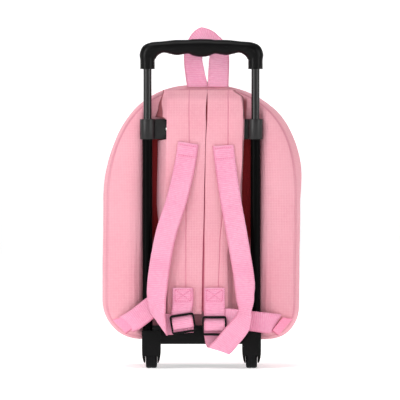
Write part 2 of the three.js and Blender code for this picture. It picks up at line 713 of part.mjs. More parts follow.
// Tubes
function outerTube(side) {
  const top = bracketTop - 4.4;
  const inner = outerTubeRadius - outerTubeWall;
  const tube = turned([
    [inner, tubeFoot],
    [outerTubeRadius, tubeFoot],
    [outerTubeRadius, top],
    [inner, top],
  ]);
  return tube.translate(side * halfSpacing, tubePlace, 0);
}
function innerTube(side) {
  const bottom = bracketTop - 4.4 - tubeOverlap;
  const top = gripFoot + gripSocketDepth - gap;
  const inner = innerTubeRadius - innerTubeWall;
  const tube = turned([
    [inner, bottom],
    [innerTubeRadius, bottom],
    [innerTubeRadius, top],
    [inner, top],
  ]);
  return tube.translate(side * halfSpacing, tubePlace, 0);
}

// The grip by sections from one sleeve to the middle: across as a share of half the tube spacing, up as a share of the
// height from the rim to the top, lean as the section's turn from flat, thick as a share of the sleeve's radius
const gripSections = [
  { across: 1, up: 0, lean: 0, thick: 1 },
  { across: 1, up: 0.32, lean: 0, thick: 1 },
  { across: 1.0, up: 0.43, lean: 22, thick: 1.13 },
  { across: 0.955, up: 0.585, lean: 42, thick: 1.14 },
  { across: 0.865, up: 0.69, lean: 58, thick: 0.97 },
  { across: 0.72, up: 0.745, lean: 77, thick: 0.8 },
  { across: 0.58, up: 0.735, lean: 84, thick: 0.93 },
  { across: 0.43, up: 0.73, lean: 87, thick: 1.03 },
  { across: 0.29, up: 0.76, lean: 89, thick: 0.95 },
  { across: 0.16, up: 0.745, lean: 90, thick: 1.04 },
  { across: 0, up: 0.71, lean: 90, thick: 1.18 },
];
function grip() {
  const sides = 12;
  const section = ({ across, up, lean, thick }, side) => {
    const turn = THREE.MathUtils.degToRad(lean);
    const half = thick * gripSleeveRadius;
    return Array.from({ length: sides }, (_, k) => {
      const angle = ((k + 0.5) / sides) * 2 * Math.PI;
      const a = half * Math.cos(angle);
      return v(
        side * (across * halfSpacing + a * Math.cos(turn)),
        tubePlace + (lean > 45 ? gripHalfDepth : gripSleeveRadius) * Math.sin(angle),
        mix(gripFoot, gripTop, up) + a * Math.sin(turn),
      );
    });
  };
  const right = gripSections.map((s) => section(s, 1));
  const left = gripSections.slice(0, -1).map((s) => section(s, -1));
  const bar = solid(loft([...left, ...right.reverse()].map((ring) => ring)));
  const sockets = [-1, 1].map((side) =>
    post(innerTubeRadius + gap, side * halfSpacing, tubePlace, [gripFoot - 5, gripFoot + gripSocketDepth]),
  );
  const pinHoles = [-1, 1].map((side) =>
    studAlongY(
      gripPinRadius + gap,
      side * halfSpacing,
      [tubePlace - gripSleeveRadius - 2, tubePlace],
      gripFoot + gripPinRise,
    ),
  );
  return shown(cut(bar, ...sockets, ...pinHoles));
}
function gripPin(side) {
  const outside = tubePlace - gripSleeveRadius + gap;
  const inside = tubePlace - innerTubeRadius - gap;
  return studAlongY(gripPinRadius, side * halfSpacing, [outside, inside], gripFoot + gripPinRise);
}

function bracket() {
  const height = [bracketFoot, bracketTop];
  const middle = (height[0] + height[1]) / 2;
  const plate = block(
    [-halfSpacing, halfSpacing],
    [panelBack - gap - bracketPlate, panelBack - gap],
    height,
  );
  const sleeves = [-1, 1].map((side) => post(bracketSleeveRadius, side * halfSpacing, tubePlace, height));
  const bosses = [-1, 1].map((side) =>
    studAlongY(
      rivetBossRadius,
      (side * rivetSpread) / 2,
      [panelBack - gap - bracketPlate - rivetBossHeight, panelBack - gap - bracketPlate / 2],
      middle,
      18,
    ),
  );
  const bores = [-1, 1].flatMap((side) => [
    post(outerTubeRadius + gap, side * halfSpacing, tubePlace, [bracketFoot - 5, bracketTop - 4]),
    post(innerTubeRadius + gap, side * halfSpacing, tubePlace, [bracketFoot, bracketTop + 5]),
  ]);
  const holes = [-1, 1].map((side) =>
    studAlongY(rivetShankRadius + gap, (side * rivetSpread) / 2, [-3 * bracketPlate - fabricWall, 0], middle),
  );
  return shown(cut(joined(plate, ...sleeves, ...bosses), ...bores, ...holes));
}
function rivet(side) {
  const x = (side * rivetSpread) / 2;
  const z = bracketFoot + bracketHeight / 2;
  const seat = panelBack - gap - bracketPlate - rivetBossHeight - gap;
  const head = turned([
    [0, 0],
    [rivetHeadRadius, 0],
    [rivetHeadRadius, rivetHeadHeight * 0.3],
    [rivetHeadRadius * 0.7, rivetHeadHeight * 0.85],
    [0, rivetHeadHeight],
  ], 16);
  head.rotateX(Math.PI / 2).translate(x, seat, z);
  const shank = studAlongY(rivetShankRadius, x, [seat - gap, 1], z);
  return shown(joined(head, shank));
}

// The base: a platform under the bag, an apron behind it, two wheel housings and two front feet
function base() {
  const top = bagBottom - gap;
  const platform = block(
    [-baseWidth / 2, baseWidth / 2],
    [basePlace, basePlace + baseDepth],
    [top - baseThickness, top],
  );
  const apron = block(
    [-housingHalfSpread, housingHalfSpread],
    [basePlace, basePlace + apronThickness],
    [top - baseThickness, apronTop],
  );
  const pieces = [platform, apron];
  const cuts = [];
  for (const side of [-1, 1]) {
    const x = side * housingHalfSpread;
    const wide = housingWidth / 2;
    const tip = housingTipWidth / 2;
    const shape = new THREE.Shape();
    shape.moveTo(-wide, housingTop);
    shape.lineTo(-wide, wheelRadius * 1.4);
    shape.quadraticCurveTo(-wide, housingTip + 5, -tip, housingTip);
    shape.lineTo(tip, housingTip);
    shape.quadraticCurveTo(wide, housingTip + 5, wide, wheelRadius * 1.4);
    shape.lineTo(wide, housingTop);
    const depth = housingFront - housingRear;
    const housing = new THREE.ExtrudeGeometry(shape, { depth, bevelEnabled: false, curveSegments: 4 });
    housing.rotateX(Math.PI / 2).translate(x, housingFront, 0);
    pieces.push(housing);
    pieces.push(
      block(
        [x - footWidth / 2, x + footWidth / 2],
        [basePlace + baseDepth - footDepth, basePlace + baseDepth],
        [0, top - baseThickness / 2],
      ),
    );
    const room = wheelWidth / 2 + 2 * gap;
    const roof = axleHeight + wheelRadius + 4 * gap;
    cuts.push(block([x - room, x + room], [housingRear + housingWall, housingFront + 5], [-5, roof]));
    cuts.push(block([x - room, x + room], [housingRear - 5, housingFront], [-5, housingRearLip]));
    cuts.push(block([x - housingWidth, x + housingWidth], [panelBack - 4 * gap, housingFront + 5], [top, apronTop]));
    cuts.push(post(outerTubeRadius + gap, side * halfSpacing, tubePlace, [tubeFoot - gap, apronTop + 5]));
    cuts.push(barAlongX(axleRadius + gap, [x - housingWidth, x + housingWidth], wheelPlace, axleHeight));
  }
  return shown(cut(joined(...pieces), ...cuts));
}
function axle(side) {
  const half = housingWidth / 2 - 1;
  const x = side * housingHalfSpread;
  return barAlongX(axleRadius, [x - half, x + half], wheelPlace, axleHeight);
}
function wheel(side) {
  const half = wheelWidth / 2;
  const made = turned(
    [
      [wheelBoreRadius, -half],
      [wheelBoreRadius * 2, -half],
      [wheelBoreRadius * 2.1, -half + 1.4],
      [wheelRadius * 0.72, -half + 1.4],
      [wheelRadius * 0.76, -half],
      [wheelRadius * 0.9, -half],
      [wheelRadius, -half * 0.66],
      [wheelRadius, half * 0.66],
      [wheelRadius * 0.9, half],
      [wheelRadius * 0.76, half],
      [wheelRadius * 0.72, half - 1.4],
      [wheelBoreRadius * 2.1, half - 1.4],
      [wheelBoreRadius * 2, half],
      [wheelBoreRadius, half],
    ],
    24,
  );
  return made.rotateY(Math.PI / 2).translate(side * housingHalfSpread, wheelPlace, axleHeight);
}

function piece(name, geometry, material) {
  const mesh = new THREE.Mesh(geometry, material);
  mesh.name = name;
  return mesh;
}

const bag = new THREE.Group();
bag.add(
  piece("back_panel", backPanel(), fabric),
  piece("side_wall", sideWall(), fabric),
  piece("front_panel", frontPanel(), fabric),
  piece("zip_chain", zipChain(), zipTape),
  piece("zip_slider_left", zipSlider(-1), nickel),
  piece("zip_slider_right", zipSlider(1), nickel),
  piece("centre_band_left", band(-1, bandReachLeft, notchLeft), fabric),
  piece("centre_band_right", band(1, bandReachRight, notchRight), fabric),
  piece("carry_loop", carryLoop(), webbing),
);

const harness = new THREE.Group();
for (const [name, geometry] of shoulderStraps()) harness.add(piece(name, geometry, webbing));
harness.add(
  piece("corner_strap_left", cornerStrap(-1), webbing),
  piece("corner_strap_right", cornerStrap(1), webbing),
  piece("corner_patch_left", cornerPatch(-1), fabric),
  piece("corner_patch_right", cornerPatch(1), fabric),
  piece("buckle_tab_left", tab(buckleLeft), webbing),
  piece("buckle_tab_right", tab(buckleRight), webbing),
  piece("buckle_left", buckle(buckleLeft), plastic),
  piece("buckle_right", buckle(buckleRight), plastic),
);

const trolley = new THREE.Group();
trolley.add(piece("base", base(), plastic), piece("tube_bracket", bracket(), plastic));
for (const [name, side] of [
  ["left", -1],
  ["right", 1],
]) {
  trolley.add(
    piece(`outer_tube_${name}`, outerTube(side), paintedSteel),
    piece(`rivet_${name}`, rivet(side), nickel),
    piece(`axle_${name}`, axle(side), nickel),
    piece(`wheel_${name}`, wheel(side), tyrePlastic),
  );
}

const handle = new THREE.Group();
handle.add(piece("grip", grip(), plastic));
for (const [name, side] of [
  ["left", -1],
  ["right", 1],
]) {
  handle.add(
    piece(`inner_tube_${name}`, innerTube(side), paintedSteel),
    piece(`grip_pin_${name}`, gripPin(side), nickel),
  );
}

// The origin is the middle of the footprint, on the floor
const backpack = new THREE.Group();
backpack.add(bag, harness, trolley, handle);
const extent = new THREE.Box3().setFromObject(backpack);
backpack.position.y = -(extent.min.y + extent.max.y) / 2;

export default backpack;
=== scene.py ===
import math

import bmesh
import bpy
from mathutils import Matrix, Vector, noise


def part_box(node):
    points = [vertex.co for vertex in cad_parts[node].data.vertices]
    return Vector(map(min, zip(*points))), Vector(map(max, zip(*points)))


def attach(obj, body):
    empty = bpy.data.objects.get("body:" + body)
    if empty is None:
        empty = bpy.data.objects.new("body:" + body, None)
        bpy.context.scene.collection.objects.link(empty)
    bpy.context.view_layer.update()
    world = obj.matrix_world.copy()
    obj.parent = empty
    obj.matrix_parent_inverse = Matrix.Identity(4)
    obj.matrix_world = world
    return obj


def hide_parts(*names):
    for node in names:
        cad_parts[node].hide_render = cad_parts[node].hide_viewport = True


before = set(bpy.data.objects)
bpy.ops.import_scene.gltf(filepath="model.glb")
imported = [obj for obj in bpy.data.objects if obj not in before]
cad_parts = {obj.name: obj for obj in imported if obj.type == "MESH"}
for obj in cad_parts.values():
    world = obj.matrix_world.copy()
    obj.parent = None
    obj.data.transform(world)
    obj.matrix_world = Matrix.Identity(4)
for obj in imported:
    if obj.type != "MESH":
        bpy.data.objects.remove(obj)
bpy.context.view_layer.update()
mm = 0.001

# Camera
# The photo looks straight at the back of the bag through a long lens, a little above the middle.
# The webbing's known width gives 1.225 mm for each of the photo's 400 pixels.
photo_pixels = 400
pixel = 1.225 * mm
camera_distance = 8.0
camera_elevation = math.radians(1.5)
sensor = 36
aim = Vector((-1.8 * mm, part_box("side_wall")[0].y, 205.7 * mm))
camera_data = bpy.data.cameras.new("camera")
camera_data.sensor_width = sensor
camera_data.lens = sensor * camera_distance / (photo_pixels * pixel)
camera_data.clip_end = 50
camera = bpy.data.objects.new("camera", camera_data)
bpy.context.scene.collection.objects.link(camera)
back_off = Vector((0, -math.cos(camera_elevation), math.sin(camera_elevation)))
camera.location = aim + camera_distance * back_off
camera.rotation_euler = (-back_off).to_track_quat("-Z", "Y").to_euler()
bpy.context.scene.camera = camera


# Studio
# A white paper floor curves up into a backdrop all round. A key and a fill light stand before the bag and a top
# light hangs over it. The world adds the white of the room, and two tall strips light only what is glossy.
def linear(code):
    """An sRGB hex colour as linear RGBA."""
    channels = [int(code[k : k + 2], 16) / 255 for k in (1, 3, 5)]
    return (*[c / 12.92 if c <= 0.04045 else ((c + 0.055) / 1.055) ** 2.4 for c in channels], 1)


def add(tree, kind, inputs=None, **settings):
    """A shader node with its settings, its socket values and its links."""
    node = tree.nodes.new(kind)
    for key, value in settings.items():
        setattr(node, key, value)
    for key, value in (inputs or {}).items():
        if isinstance(value, bpy.types.NodeSocket):
            tree.links.new(value, node.inputs[key])
        else:
            node.inputs[key].default_value = value
    return node


def new_material(name):
    """A material with an empty tree, its shader and its output."""
    material = bpy.data.materials.new(name)
    material.use_nodes = True
    tree = material.node_tree
    tree.nodes.clear()
    shader = add(tree, "ShaderNodeBsdfPrincipled")
    output = add(tree, "ShaderNodeOutputMaterial")
    tree.links.new(shader.outputs[0], output.inputs[0])
    return material, tree, shader


def finish_mesh(bm, name, material):
    """The bmesh as a smooth shaded object of that name and material."""
    mesh = bpy.data.meshes.new(name)
    bm.to_mesh(mesh)
    bm.free()
    mesh.shade_smooth()
    mesh.materials.append(material)
    piece = bpy.data.objects.new(name, mesh)
    bpy.context.scene.collection.objects.link(piece)
    return piece


# Seamless background paper, matt with a grain that hardly shows. Its glow keeps it as white as in the photo.
paper, tree, shader = new_material("backdrop_paper")
grain = add(tree, "ShaderNodeTexNoise", {"Scale": 60.0, "Detail": 3.0})
tones = {"Color1": linear("#FCFBFB"), "Color2": linear("#FFFFFF")}
tone = add(tree, "ShaderNodeMixRGB", {"Fac": grain.outputs["Fac"], **tones})
tree.links.new(tone.outputs[0], shader.inputs["Base Color"])
shader.inputs["Roughness"].default_value = 0.9
shader.inputs["Emission Color"].default_value = linear("#FFFFFF")
shader.inputs["Emission Strength"].default_value = 0.45
floor_radius = 16.0
curve_radius = 2.1
curve_steps = 8
backdrop_rise = 4.4
bm = bmesh.new()
bmesh.ops.create_circle(bm, cap_ends=True, segments=96, radius=floor_radius)
rim = list(bm.edges)
for k in range(1, curve_steps + 1):
    turn = k / curve_steps * math.pi / 2
    new = bmesh.ops.extrude_edge_only(bm, edges=rim)["geom"]
    verts = [g for g in new if isinstance(g, bmesh.types.BMVert)]
    rim = [g for g in new if isinstance(g, bmesh.types.BMEdge)]
    for v in verts:
        flat = Vector((v.co.x, v.co.y)).normalized()
        reach = floor_radius + curve_radius * math.sin(turn)
        v.co = Vector((flat.x * reach, flat.y * reach, curve_radius * (1 - math.cos(turn))))
new = bmesh.ops.extrude_edge_only(bm, edges=rim)["geom"]
for v in [g for g in new if isinstance(g, bmesh.types.BMVert)]:
    v.co.z += backdrop_rise
backdrop = finish_mesh(bm, "backdrop", paper)

world = bpy.data.worlds.new("white_room")
bpy.context.scene.world = world
world.use_nodes = True
world.node_tree.nodes["Background"].inputs["Color"].default_value = linear("#FFFFFF")
world.node_tree.nodes["Background"].inputs["Strength"].default_value = 0.43
bpy.context.scene.view_settings.view_transform = "Standard"

# Each lamp's name, place, size and watts. No camera sees a lamp itself.
for name, place, size, watts in [
    ("key", (-0.85, -1.0, 1.2), (0.16, 0.8), 5.0),
    ("fill", (1.5, -1.4, 1.2), (0.12, 1.3), 0.8),
    ("top", (-0.2, -0.3, 2.0), (1.4, 0.9), 14),
    ("strip_left", (-2.3, -2.2, 0.7), (0.75, 2.2), 44),
    ("strip_right", (2.5, -2.0, 0.7), (0.5, 2.2), 26),
]:
    light = bpy.data.lights.new(name, "AREA")
    light.shape = "RECTANGLE"
    light.size, light.size_y = size
    light.energy = watts
    lamp = bpy.data.objects.new(name, light)
    bpy.context.scene.collection.objects.link(lamp)
    lamp.location = place
    lamp.rotation_euler = (Vector((0, 0, 0.2)) - lamp.location).to_track_quat("-Z", "Y").to_euler()
    lamp.visible_diffuse = not name.startswith("strip")
    lamp.visible_camera = False


# Bag cloth
# The bag is 600 denier polyester with a fine checked weave, backed with foam. It is matt with a soft sheen,
# and its threads give a faint grid that runs with the cloth, so the pattern follows each panel's own cut.
# The stitching's darker pink, also used as painted shade on the turned edge seen in the slit.
stitch_and_slit_shade_tone = "#C8647E"
# A deep red painted shade for the recesses and gaps that the lamps leave dark.
deep_red_painted_shade_tone = "#74060B"


def cloth_material(name, light_tone, dark_tone, thread, thread_depth, ribs_only=False):
    """Woven cloth. thread is the spacing of its ribs in metres, along the cloth's own two directions.

    Where a piece's seam or shade attribute is 1, the cloth has its stitching's colour or a deep red painted
    shade."""
    material, tree, shader = new_material(name)
    cut = add(tree, "ShaderNodeUVMap", uv_map="cloth")
    axes = add(tree, "ShaderNodeSeparateXYZ", {"Vector": cut.outputs["UV"]})
    waves = []
    for axis, spacing in (("X", thread[0]), ("Y", thread[1])):
        turns = {0: axes.outputs[axis], 1: 2 * math.pi / spacing}
        phase = add(tree, "ShaderNodeMath", turns, operation="MULTIPLY")
        waves.append(add(tree, "ShaderNodeMath", {0: phase.outputs[0]}, operation="SINE").outputs[0])
    both = add(tree, "ShaderNodeMath", {0: waves[0], 1: waves[1]}, operation="ADD")
    weave = waves[1] if ribs_only else both.outputs[0]
    slub = add(tree, "ShaderNodeTexNoise", {"Vector": cut.outputs["UV"], "Scale": 260.0, "Detail": 2.0})
    worn = add(tree, "ShaderNodeTexNoise", {"Vector": cut.outputs["UV"], "Scale": 14.0, "Detail": 3.0})
    rib = add(tree, "ShaderNodeMapRange", {"Value": weave, "From Min": -1.6, "From Max": 1.6})
    mottle = add(tree, "ShaderNodeMath", {0: rib.outputs[0], 1: slub.outputs["Fac"]}, operation="MULTIPLY")
    patchy = add(tree, "ShaderNodeMath", {0: mottle.outputs[0], 1: worn.outputs["Fac"]}, operation="ADD")
    share = add(tree, "ShaderNodeMapRange", {"Value": patchy.outputs[0], "From Min": 0.25, "From Max": 1.0})
    line = add(tree, "ShaderNodeAttribute", attribute_name="seam").outputs["Fac"]
    # shade marks where the deep red painted shade is mixed in.
    deep = add(tree, "ShaderNodeAttribute", attribute_name="shade").outputs["Fac"]
    colour = linear(dark_tone)
    for part, tone in ((share.outputs[0], light_tone), (line, stitch_and_slit_shade_tone), (deep, deep_red_painted_shade_tone)):
        mix = add(tree, "ShaderNodeMixRGB", {"Fac": part, "Color1": colour, "Color2": linear(tone)})
        colour = mix.outputs[0]
    tree.links.new(colour, shader.inputs["Base Color"])
    bump = add(tree, "ShaderNodeBump", {"Height": weave, "Strength": 0.5, "Distance": thread_depth})
    slubs = {"Height": slub.outputs["Fac"], "Strength": 0.25, "Distance": 0.3 * mm}
    rough = add(tree, "ShaderNodeBump", slubs)
    tree.links.new(bump.outputs[0], rough.inputs["Normal"])
    tree.links.new(rough.outputs[0], shader.inputs["Normal"])
    shader.inputs["Roughness"].default_value = 0.82
    shader.inputs["Sheen Weight"].default_value = 0.1
    shader.inputs["Sheen Roughness"].default_value = 0.5
    shader.inputs["Specular IOR Level"].default_value = 0.3
    return material


check = (2.0 * mm, 2.0 * mm)
polyester = cloth_material("woven_polyester", "#ECABB7", "#E394A3", check, 0.16 * mm)
cloth_thick = 2.0 * mm

seam_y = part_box("back_panel")[1].y + 0.3 * mm
bag_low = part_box("side_wall")[0]
bag_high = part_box("side_wall")[1]
half_width = bag_high.x
spring = 200 * mm
arch_power = 2.45
left_corner_power = 2.25
right_corner_power = 2.8
corner = Vector((50 * mm, 48 * mm))
corner_steps = 24
arch_steps = 96
seam_inset = 4.5 * mm


def ease(value, low, high):
    """0 below low, 1 above high, and a smooth step between."""
    share = min(max((value - low) / (high - low), 0.0), 1.0)
    return share * share * (3 - 2 * share)


def hump(value, centre, width):
    """1 at the centre, falling away smoothly on both sides of it."""
    return math.exp(-(((value - centre) / width) ** 2))


def between(table, at):
    """A smooth curve through the table's (place, value) rows."""
    for k, ((a, low), (b, high)) in enumerate(zip(table, table[1:])):
        if at <= b or k == len(table) - 2:
            return low + (high - low) * ease(at, a, b)


lean_table = [(35, -0.8), (90, -1.2), (200, 0.2), (300, 2.6), (347, 1.8)]


def lean(z):
    """How far the filled bag leans to its right at that height."""
    return between(lean_table, z / mm) * mm


def sag(point):
    """How far the padded corners hang below the bag's flat middle, which stands on the base."""
    low = 1 - ease(point.z, bag_low.z + 2 * mm, bag_low.z + 16 * mm)
    return 1.4 * mm * low * ease(abs(point.x), 67.5 * mm, 75 * mm)


def half_outline(corner_power):
    """Half the outline, from the middle of its bottom to the crown. A higher power squares its lower corner."""
    points = [Vector((0, bag_low.z)), Vector((half_width - corner.x, bag_low.z))]
    for k in range(1, corner_steps + 1):
        turn = k / corner_steps * math.pi / 2
        across = math.sin(turn) ** (2 / corner_power)
        down = max(math.cos(turn), 0) ** (2 / corner_power)
        x = half_width - corner.x + corner.x * across
        points.append(Vector((x, bag_low.z + corner.y - corner.y * down)))
    for k in range(arch_steps + 1):
        turn = k / arch_steps * math.pi / 2
        x = half_width * max(math.cos(turn), 0) ** (2 / arch_power)
        z = spring + (bag_high.z - spring) * math.sin(turn) ** (2 / arch_power)
        points.append(Vector((x, z)))
    return points


def trace_outline():
    """The bag's outline from behind, from the middle of its bottom round by +X, as points and lengths."""
    points = half_outline(right_corner_power)
    points += [Vector((-p.x, p.y)) for p in reversed(half_outline(left_corner_power)[:-1])]
    lengths = [0.0]
    for a, b in zip(points, points[1:]):
        lengths.append(lengths[-1] + (b - a).length)
    return points, lengths


outline_points, outline_lengths = trace_outline()
girth = outline_lengths[-1]


def outline_at(length):
    """The outline's point that far round it."""
    length = length % girth
    low, high = 0, len(outline_lengths) - 1
    while high - low > 1:
        middle = (low + high) // 2
        low, high = (middle, high) if outline_lengths[middle] <= length else (low, middle)
    part = (length - outline_lengths[low]) / max(outline_lengths[high] - outline_lengths[low], 1e-9)
    return outline_points[low].lerp(outline_points[high], part)


def on_outline(share, inset, upright=False):
    """The outline's point at that share of the way round, drawn in by inset. It leans unless it is upright."""
    span = 6 * mm
    at = share * girth
    along = (outline_at(at + span) - outline_at(at - span)).normalized()
    point = outline_at(at) - Vector((along.y, -along.x)) * inset
    return point if upright else point + Vector((lean(point.y), 0))


seam_steps = 720
round_seam = [on_outline(k / (2 * seam_steps), seam_inset, upright=True) for k in range(2 * seam_steps + 1)]
seam_line = {
    1: round_seam[: seam_steps + 1],
    -1: [Vector((-p.x, p.y)) for p in reversed(round_seam[seam_steps:])],
}


def panel_half_width(z, side=1):
    """Half the back panel's width at that height, on that side."""
    line = seam_line[side]
    for a, b in zip(line[2:], line[3:]):
        if a.y <= z <= b.y:
            return a.x + (b.x - a.x) * (z - a.y) / max(b.y - a.y, 1e-9)
    return line[2].x if z < line[2].y else 0.0


def cut_cloth(name, columns, rows, place, thick, material, closed=False, seam=None, shade=None, even=True):
    """A cloth panel: a grid laid out by place(across, up) -> (point, (u, v)), its weave along u and v.

    closed joins its two sides into a ring. seam and shade give, for (across, up), how much it has of the
    stitching's colour and of a deep red painted shade."""
    bm = bmesh.new()
    uv = bm.loops.layers.uv.new("cloth")
    dark = bm.verts.layers.float.new("seam")
    deep = bm.verts.layers.float.new("shade")
    bmesh.ops.create_grid(bm, x_segments=columns, y_segments=rows, size=0.5, calc_uvs=False)
    cut = {}
    for v in bm.verts:
        across, up = v.co.x + 0.5, v.co.y + 0.5
        point, at = place(across, up)
        cut[v] = at
        v[dark] = seam(across, up) if seam else 0.0
        v[deep] = shade(across, up) if shade else 0.0
        v.co = point - Vector((0, 0, sag(point)))
    for face in bm.faces:
        for loop in face.loops:
            loop[uv].uv = cut[loop.vert]
    if closed:
        bmesh.ops.remove_doubles(bm, verts=bm.verts, dist=0.02 * mm)
    piece = finish_mesh(bm, name, material)
    wall = piece.modifiers.new("wall", "SOLIDIFY")
    wall.thickness = thick
    wall.offset = -1
    wall.use_even_offset = even
    return piece


def sew(piece, slot, *nodes, body="bag"):
    """The piece moves with its body and stands for those solids, which are hidden. The slot is not used."""
    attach(piece, body)
    if nodes:
        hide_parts(*nodes)


# Back panel
# Foam-backed cloth, flat where the tubes and the centre bands lie and padded on both sides of them, made by
# moving a fine grid out by the depth of the padding.
# The pads swell past the tubes, dip into the seam at their outer edge and pucker along the tubes.
panel_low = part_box("back_panel")[0]
panel_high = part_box("back_panel")[1]
panel_back = -2.5 * mm
lobe_start = 70 * mm
lobe_swell = 8.6 * mm


def panel_relief(x, z):
    """How far the back panel stands out at that place."""
    width = panel_half_width(z, 1 if x >= 0 else -1)
    room = width - lobe_start
    side = abs(x)
    share = min(max((side - lobe_start) / max(room, 1 * mm), 0), 1)
    swell = lobe_swell * ease(room, 0, 34 * mm) * math.sin(math.pi * share**0.72) ** 0.85
    low_sag = 1 + 0.22 * ease(z, 190 * mm, 90 * mm) * ease(z, 45 * mm, 90 * mm)
    near_tube = hump(side, lobe_start + 8 * mm, 11 * mm)
    pucker = math.sin(side / (1.05 * mm) + 2.2 * noise.noise(Vector((side * 60, z * 16, 3.0))))
    pleats = 0.26 * mm * pucker * near_tube * ease(z, 250 * mm, 130 * mm)
    soft = 1.1 * mm * noise.noise(Vector((x * 18, z * 9, 1.7))) * ease(room, 0, 20 * mm)
    fine = 0.35 * mm * noise.noise(Vector((x * 90, z * 26, 7.7)))
    edge = min(width - side, z - panel_low.z, panel_high.z - z)
    tuck = 1.6 * mm * (1 - ease(edge, 0, 3.2 * mm))
    return swell * low_sag + pleats + (soft + fine) * ease(edge, 0, 12 * mm) - tuck


def panel_flat(across, up):
    """The panel's (x, z) before it is padded."""
    z = panel_low.z + (panel_high.z - panel_low.z) * (1 - (1 - up) ** 1.06)
    inside = min(max(z, panel_low.z + 0.2 * mm), panel_high.z - 0.4 * mm)
    x = (2 * across - 1) * panel_half_width(inside, 1 if across >= 0.5 else -1)
    return x, z


def panel_place(across, up):
    x, z = panel_flat(across, up)
    return Vector((x + lean(z), seam_y + panel_back - panel_relief(x, z), z)), (x, z)


def panel_seam(across, up):
    """The row of stitches inside the panel's edge."""
    x, z = panel_flat(across, up)
    edge = min(panel_half_width(z, 1 if x >= 0 else -1) - abs(x), z - panel_low.z, panel_high.z - z)
    strength = 0.25 + 0.45 * max(ease(z, 220 * mm, 270 * mm), ease(z, 90 * mm, 60 * mm))
    return strength * hump(edge, 0.9 * mm, 0.9 * mm)


def panel_shade(across, up):
    """Painted shade in deep red: in the recess between the tubes below the bracket, and beside the right band's
    top corner.
    """
    x, z = panel_flat(across, up)
    x += lean(z)
    low = ease(z, 284 * mm, 280 * mm) * ease(z, 128 * mm, 165 * mm) * ease(abs(x), 73 * mm, 71.5 * mm)
    high = ease(x, 46 * mm, 48 * mm) * ease(z, 334 * mm, 326 * mm)
    high *= ease(57 * mm - x, 0, 2 * mm + (330 * mm - z) * 0.08)
    return max(low, 0.8 * high)


back_panel = cut_cloth(
    "back_panel_cloth", 180, 180, panel_place, cloth_thick, polyester, seam=panel_seam, shade=panel_shade
)
sew(back_panel, "fabric", "back_panel")

# Side wall
# One strip of the same cloth, sewn round the bag with its ends joined at the middle of the bottom. It swells
# between its two seams, more on the right where the bag bulges, and the zip is let into its upper part.
wall_depth = bag_high.y - seam_y
zip_middle = 62 * mm
zip_half = 4 * mm
zip_stop = 104 * mm
wall_profile = [
    (0, 1), (0.05, 0.55), (0.11, 0.3), (0.29, 0), (0.5, 0), (0.7, 0.25), (0.81, 0.5), (0.95, 0.7), (1, 1.05),
]
swell_left = [(40, 0.3), (80, 1.2), (230, 0.8), (270, 0), (347, 0)]
swell_right = [(40, 0.8), (80, 1.4), (200, 1.6), (250, 4.2), (300, 2.6), (347, 0)]


def wall_inset(depth):
    """How far the wall lies inside the bag's outline at that depth."""
    return seam_inset * between(wall_profile, depth / wall_depth)


def wall_swell(flat, middle):
    """How far the wall bulges at that place of the outline, with middle 1 half way between its seams."""
    swell = between(swell_right if flat.x > 0 else swell_left, flat.y / mm) * mm
    return swell * ease(middle, 0, 0.8) * ease(abs(flat.x), 0, 50 * mm)


def wall_place(across, up):
    depth = up * wall_depth
    around = 1 - across
    flat = on_outline(around, wall_inset(depth))
    shift = Vector((flat.x * 14, flat.y * 14, depth * 20))
    middle = math.sin(math.pi * up)
    ripple = (0.9 * noise.noise(shift) + 0.35 * noise.noise(shift * 4)) * mm * middle
    ripple *= ease(flat.y, bag_low.z + 2 * mm, bag_low.z + 30 * mm)
    flat = on_outline(around, wall_inset(depth) + 0.4 * mm - ripple - wall_swell(flat, middle))
    return Vector((flat.x, seam_y + depth, flat.y)), (around * girth, depth)


def wall_seam(across, up):
    """Rows of stitches inside both seams and along the zip."""
    depth = up * wall_depth
    inside = min(depth, wall_depth - depth)
    by_zip = abs(abs(depth - zip_middle) - zip_half - 2 * mm)
    near_zip = hump(by_zip, 0, 0.7 * mm) * (on_outline(1 - across, 0).y > zip_stop)
    return 0.5 * max(hump(inside, 1.2 * mm, 0.9 * mm), near_zip)


side_wall = cut_cloth(
    "side_wall_cloth", 300, 82, wall_place, cloth_thick, polyester, closed=True, seam=wall_seam
)
bm = bmesh.new()
bm.from_mesh(side_wall.data)
slot_faces = [
    face
    for face in bm.faces
    if abs(face.calc_center_median().y - seam_y - zip_middle) < zip_half
    and face.calc_center_median().z > zip_stop
]
bmesh.ops.delete(bm, geom=slot_faces, context="FACES")
bm.to_mesh(side_wall.data)
bm.free()
sew(side_wall, "fabric", "side_wall")

# Front panel
# The bag's front is one plain piece of the same cloth over foam. It is sewn to the side wall all round, with a
# row of stitches inside its edge, and it is laid out in rings that rise from that seam to its full middle.
front_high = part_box("front_panel")[1]
front_rise = front_high.y - bag_high.y
front_middle = Vector((0, 190 * mm))


def front_place(across, up):
    around = 1 - across
    edge = on_outline(around, seam_inset)
    flat = edge.lerp(front_middle, up)
    rise = front_rise * (1 - (1 - min(up * 1.18, 1)) ** 3.0) ** (1 / 1.6)
    soft = 0.8 * mm * noise.noise(Vector((flat.x * 14, flat.y * 14, 4.1))) * ease(up, 0, 0.2)
    tuck = 1.2 * mm * (1 - ease(up, 0, 0.03))
    return Vector((flat.x, bag_high.y + rise + soft - tuck, flat.y)), (flat.x, flat.y)


def front_seam(across, up):
    """The row of stitches inside the front's edge."""
    return 0.5 * hump(up, 0.028, 0.012)


front_panel = cut_cloth(
    "front_panel_cloth", 240, 120, front_place, cloth_thick, polyester, closed=True, seam=front_seam
)
sew(front_panel, "fabric", "front_panel")

# Centre bands
# Two flaps of the bag's cloth are sewn in at the top and cover the bracket. They meet at a slit, hang open at
# the hem, fold back at their outer edges and have a row of stitches down each.
band_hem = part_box("centre_band_left")[0].z
band_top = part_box("centre_band_left")[1].z
band_front = -19 * mm
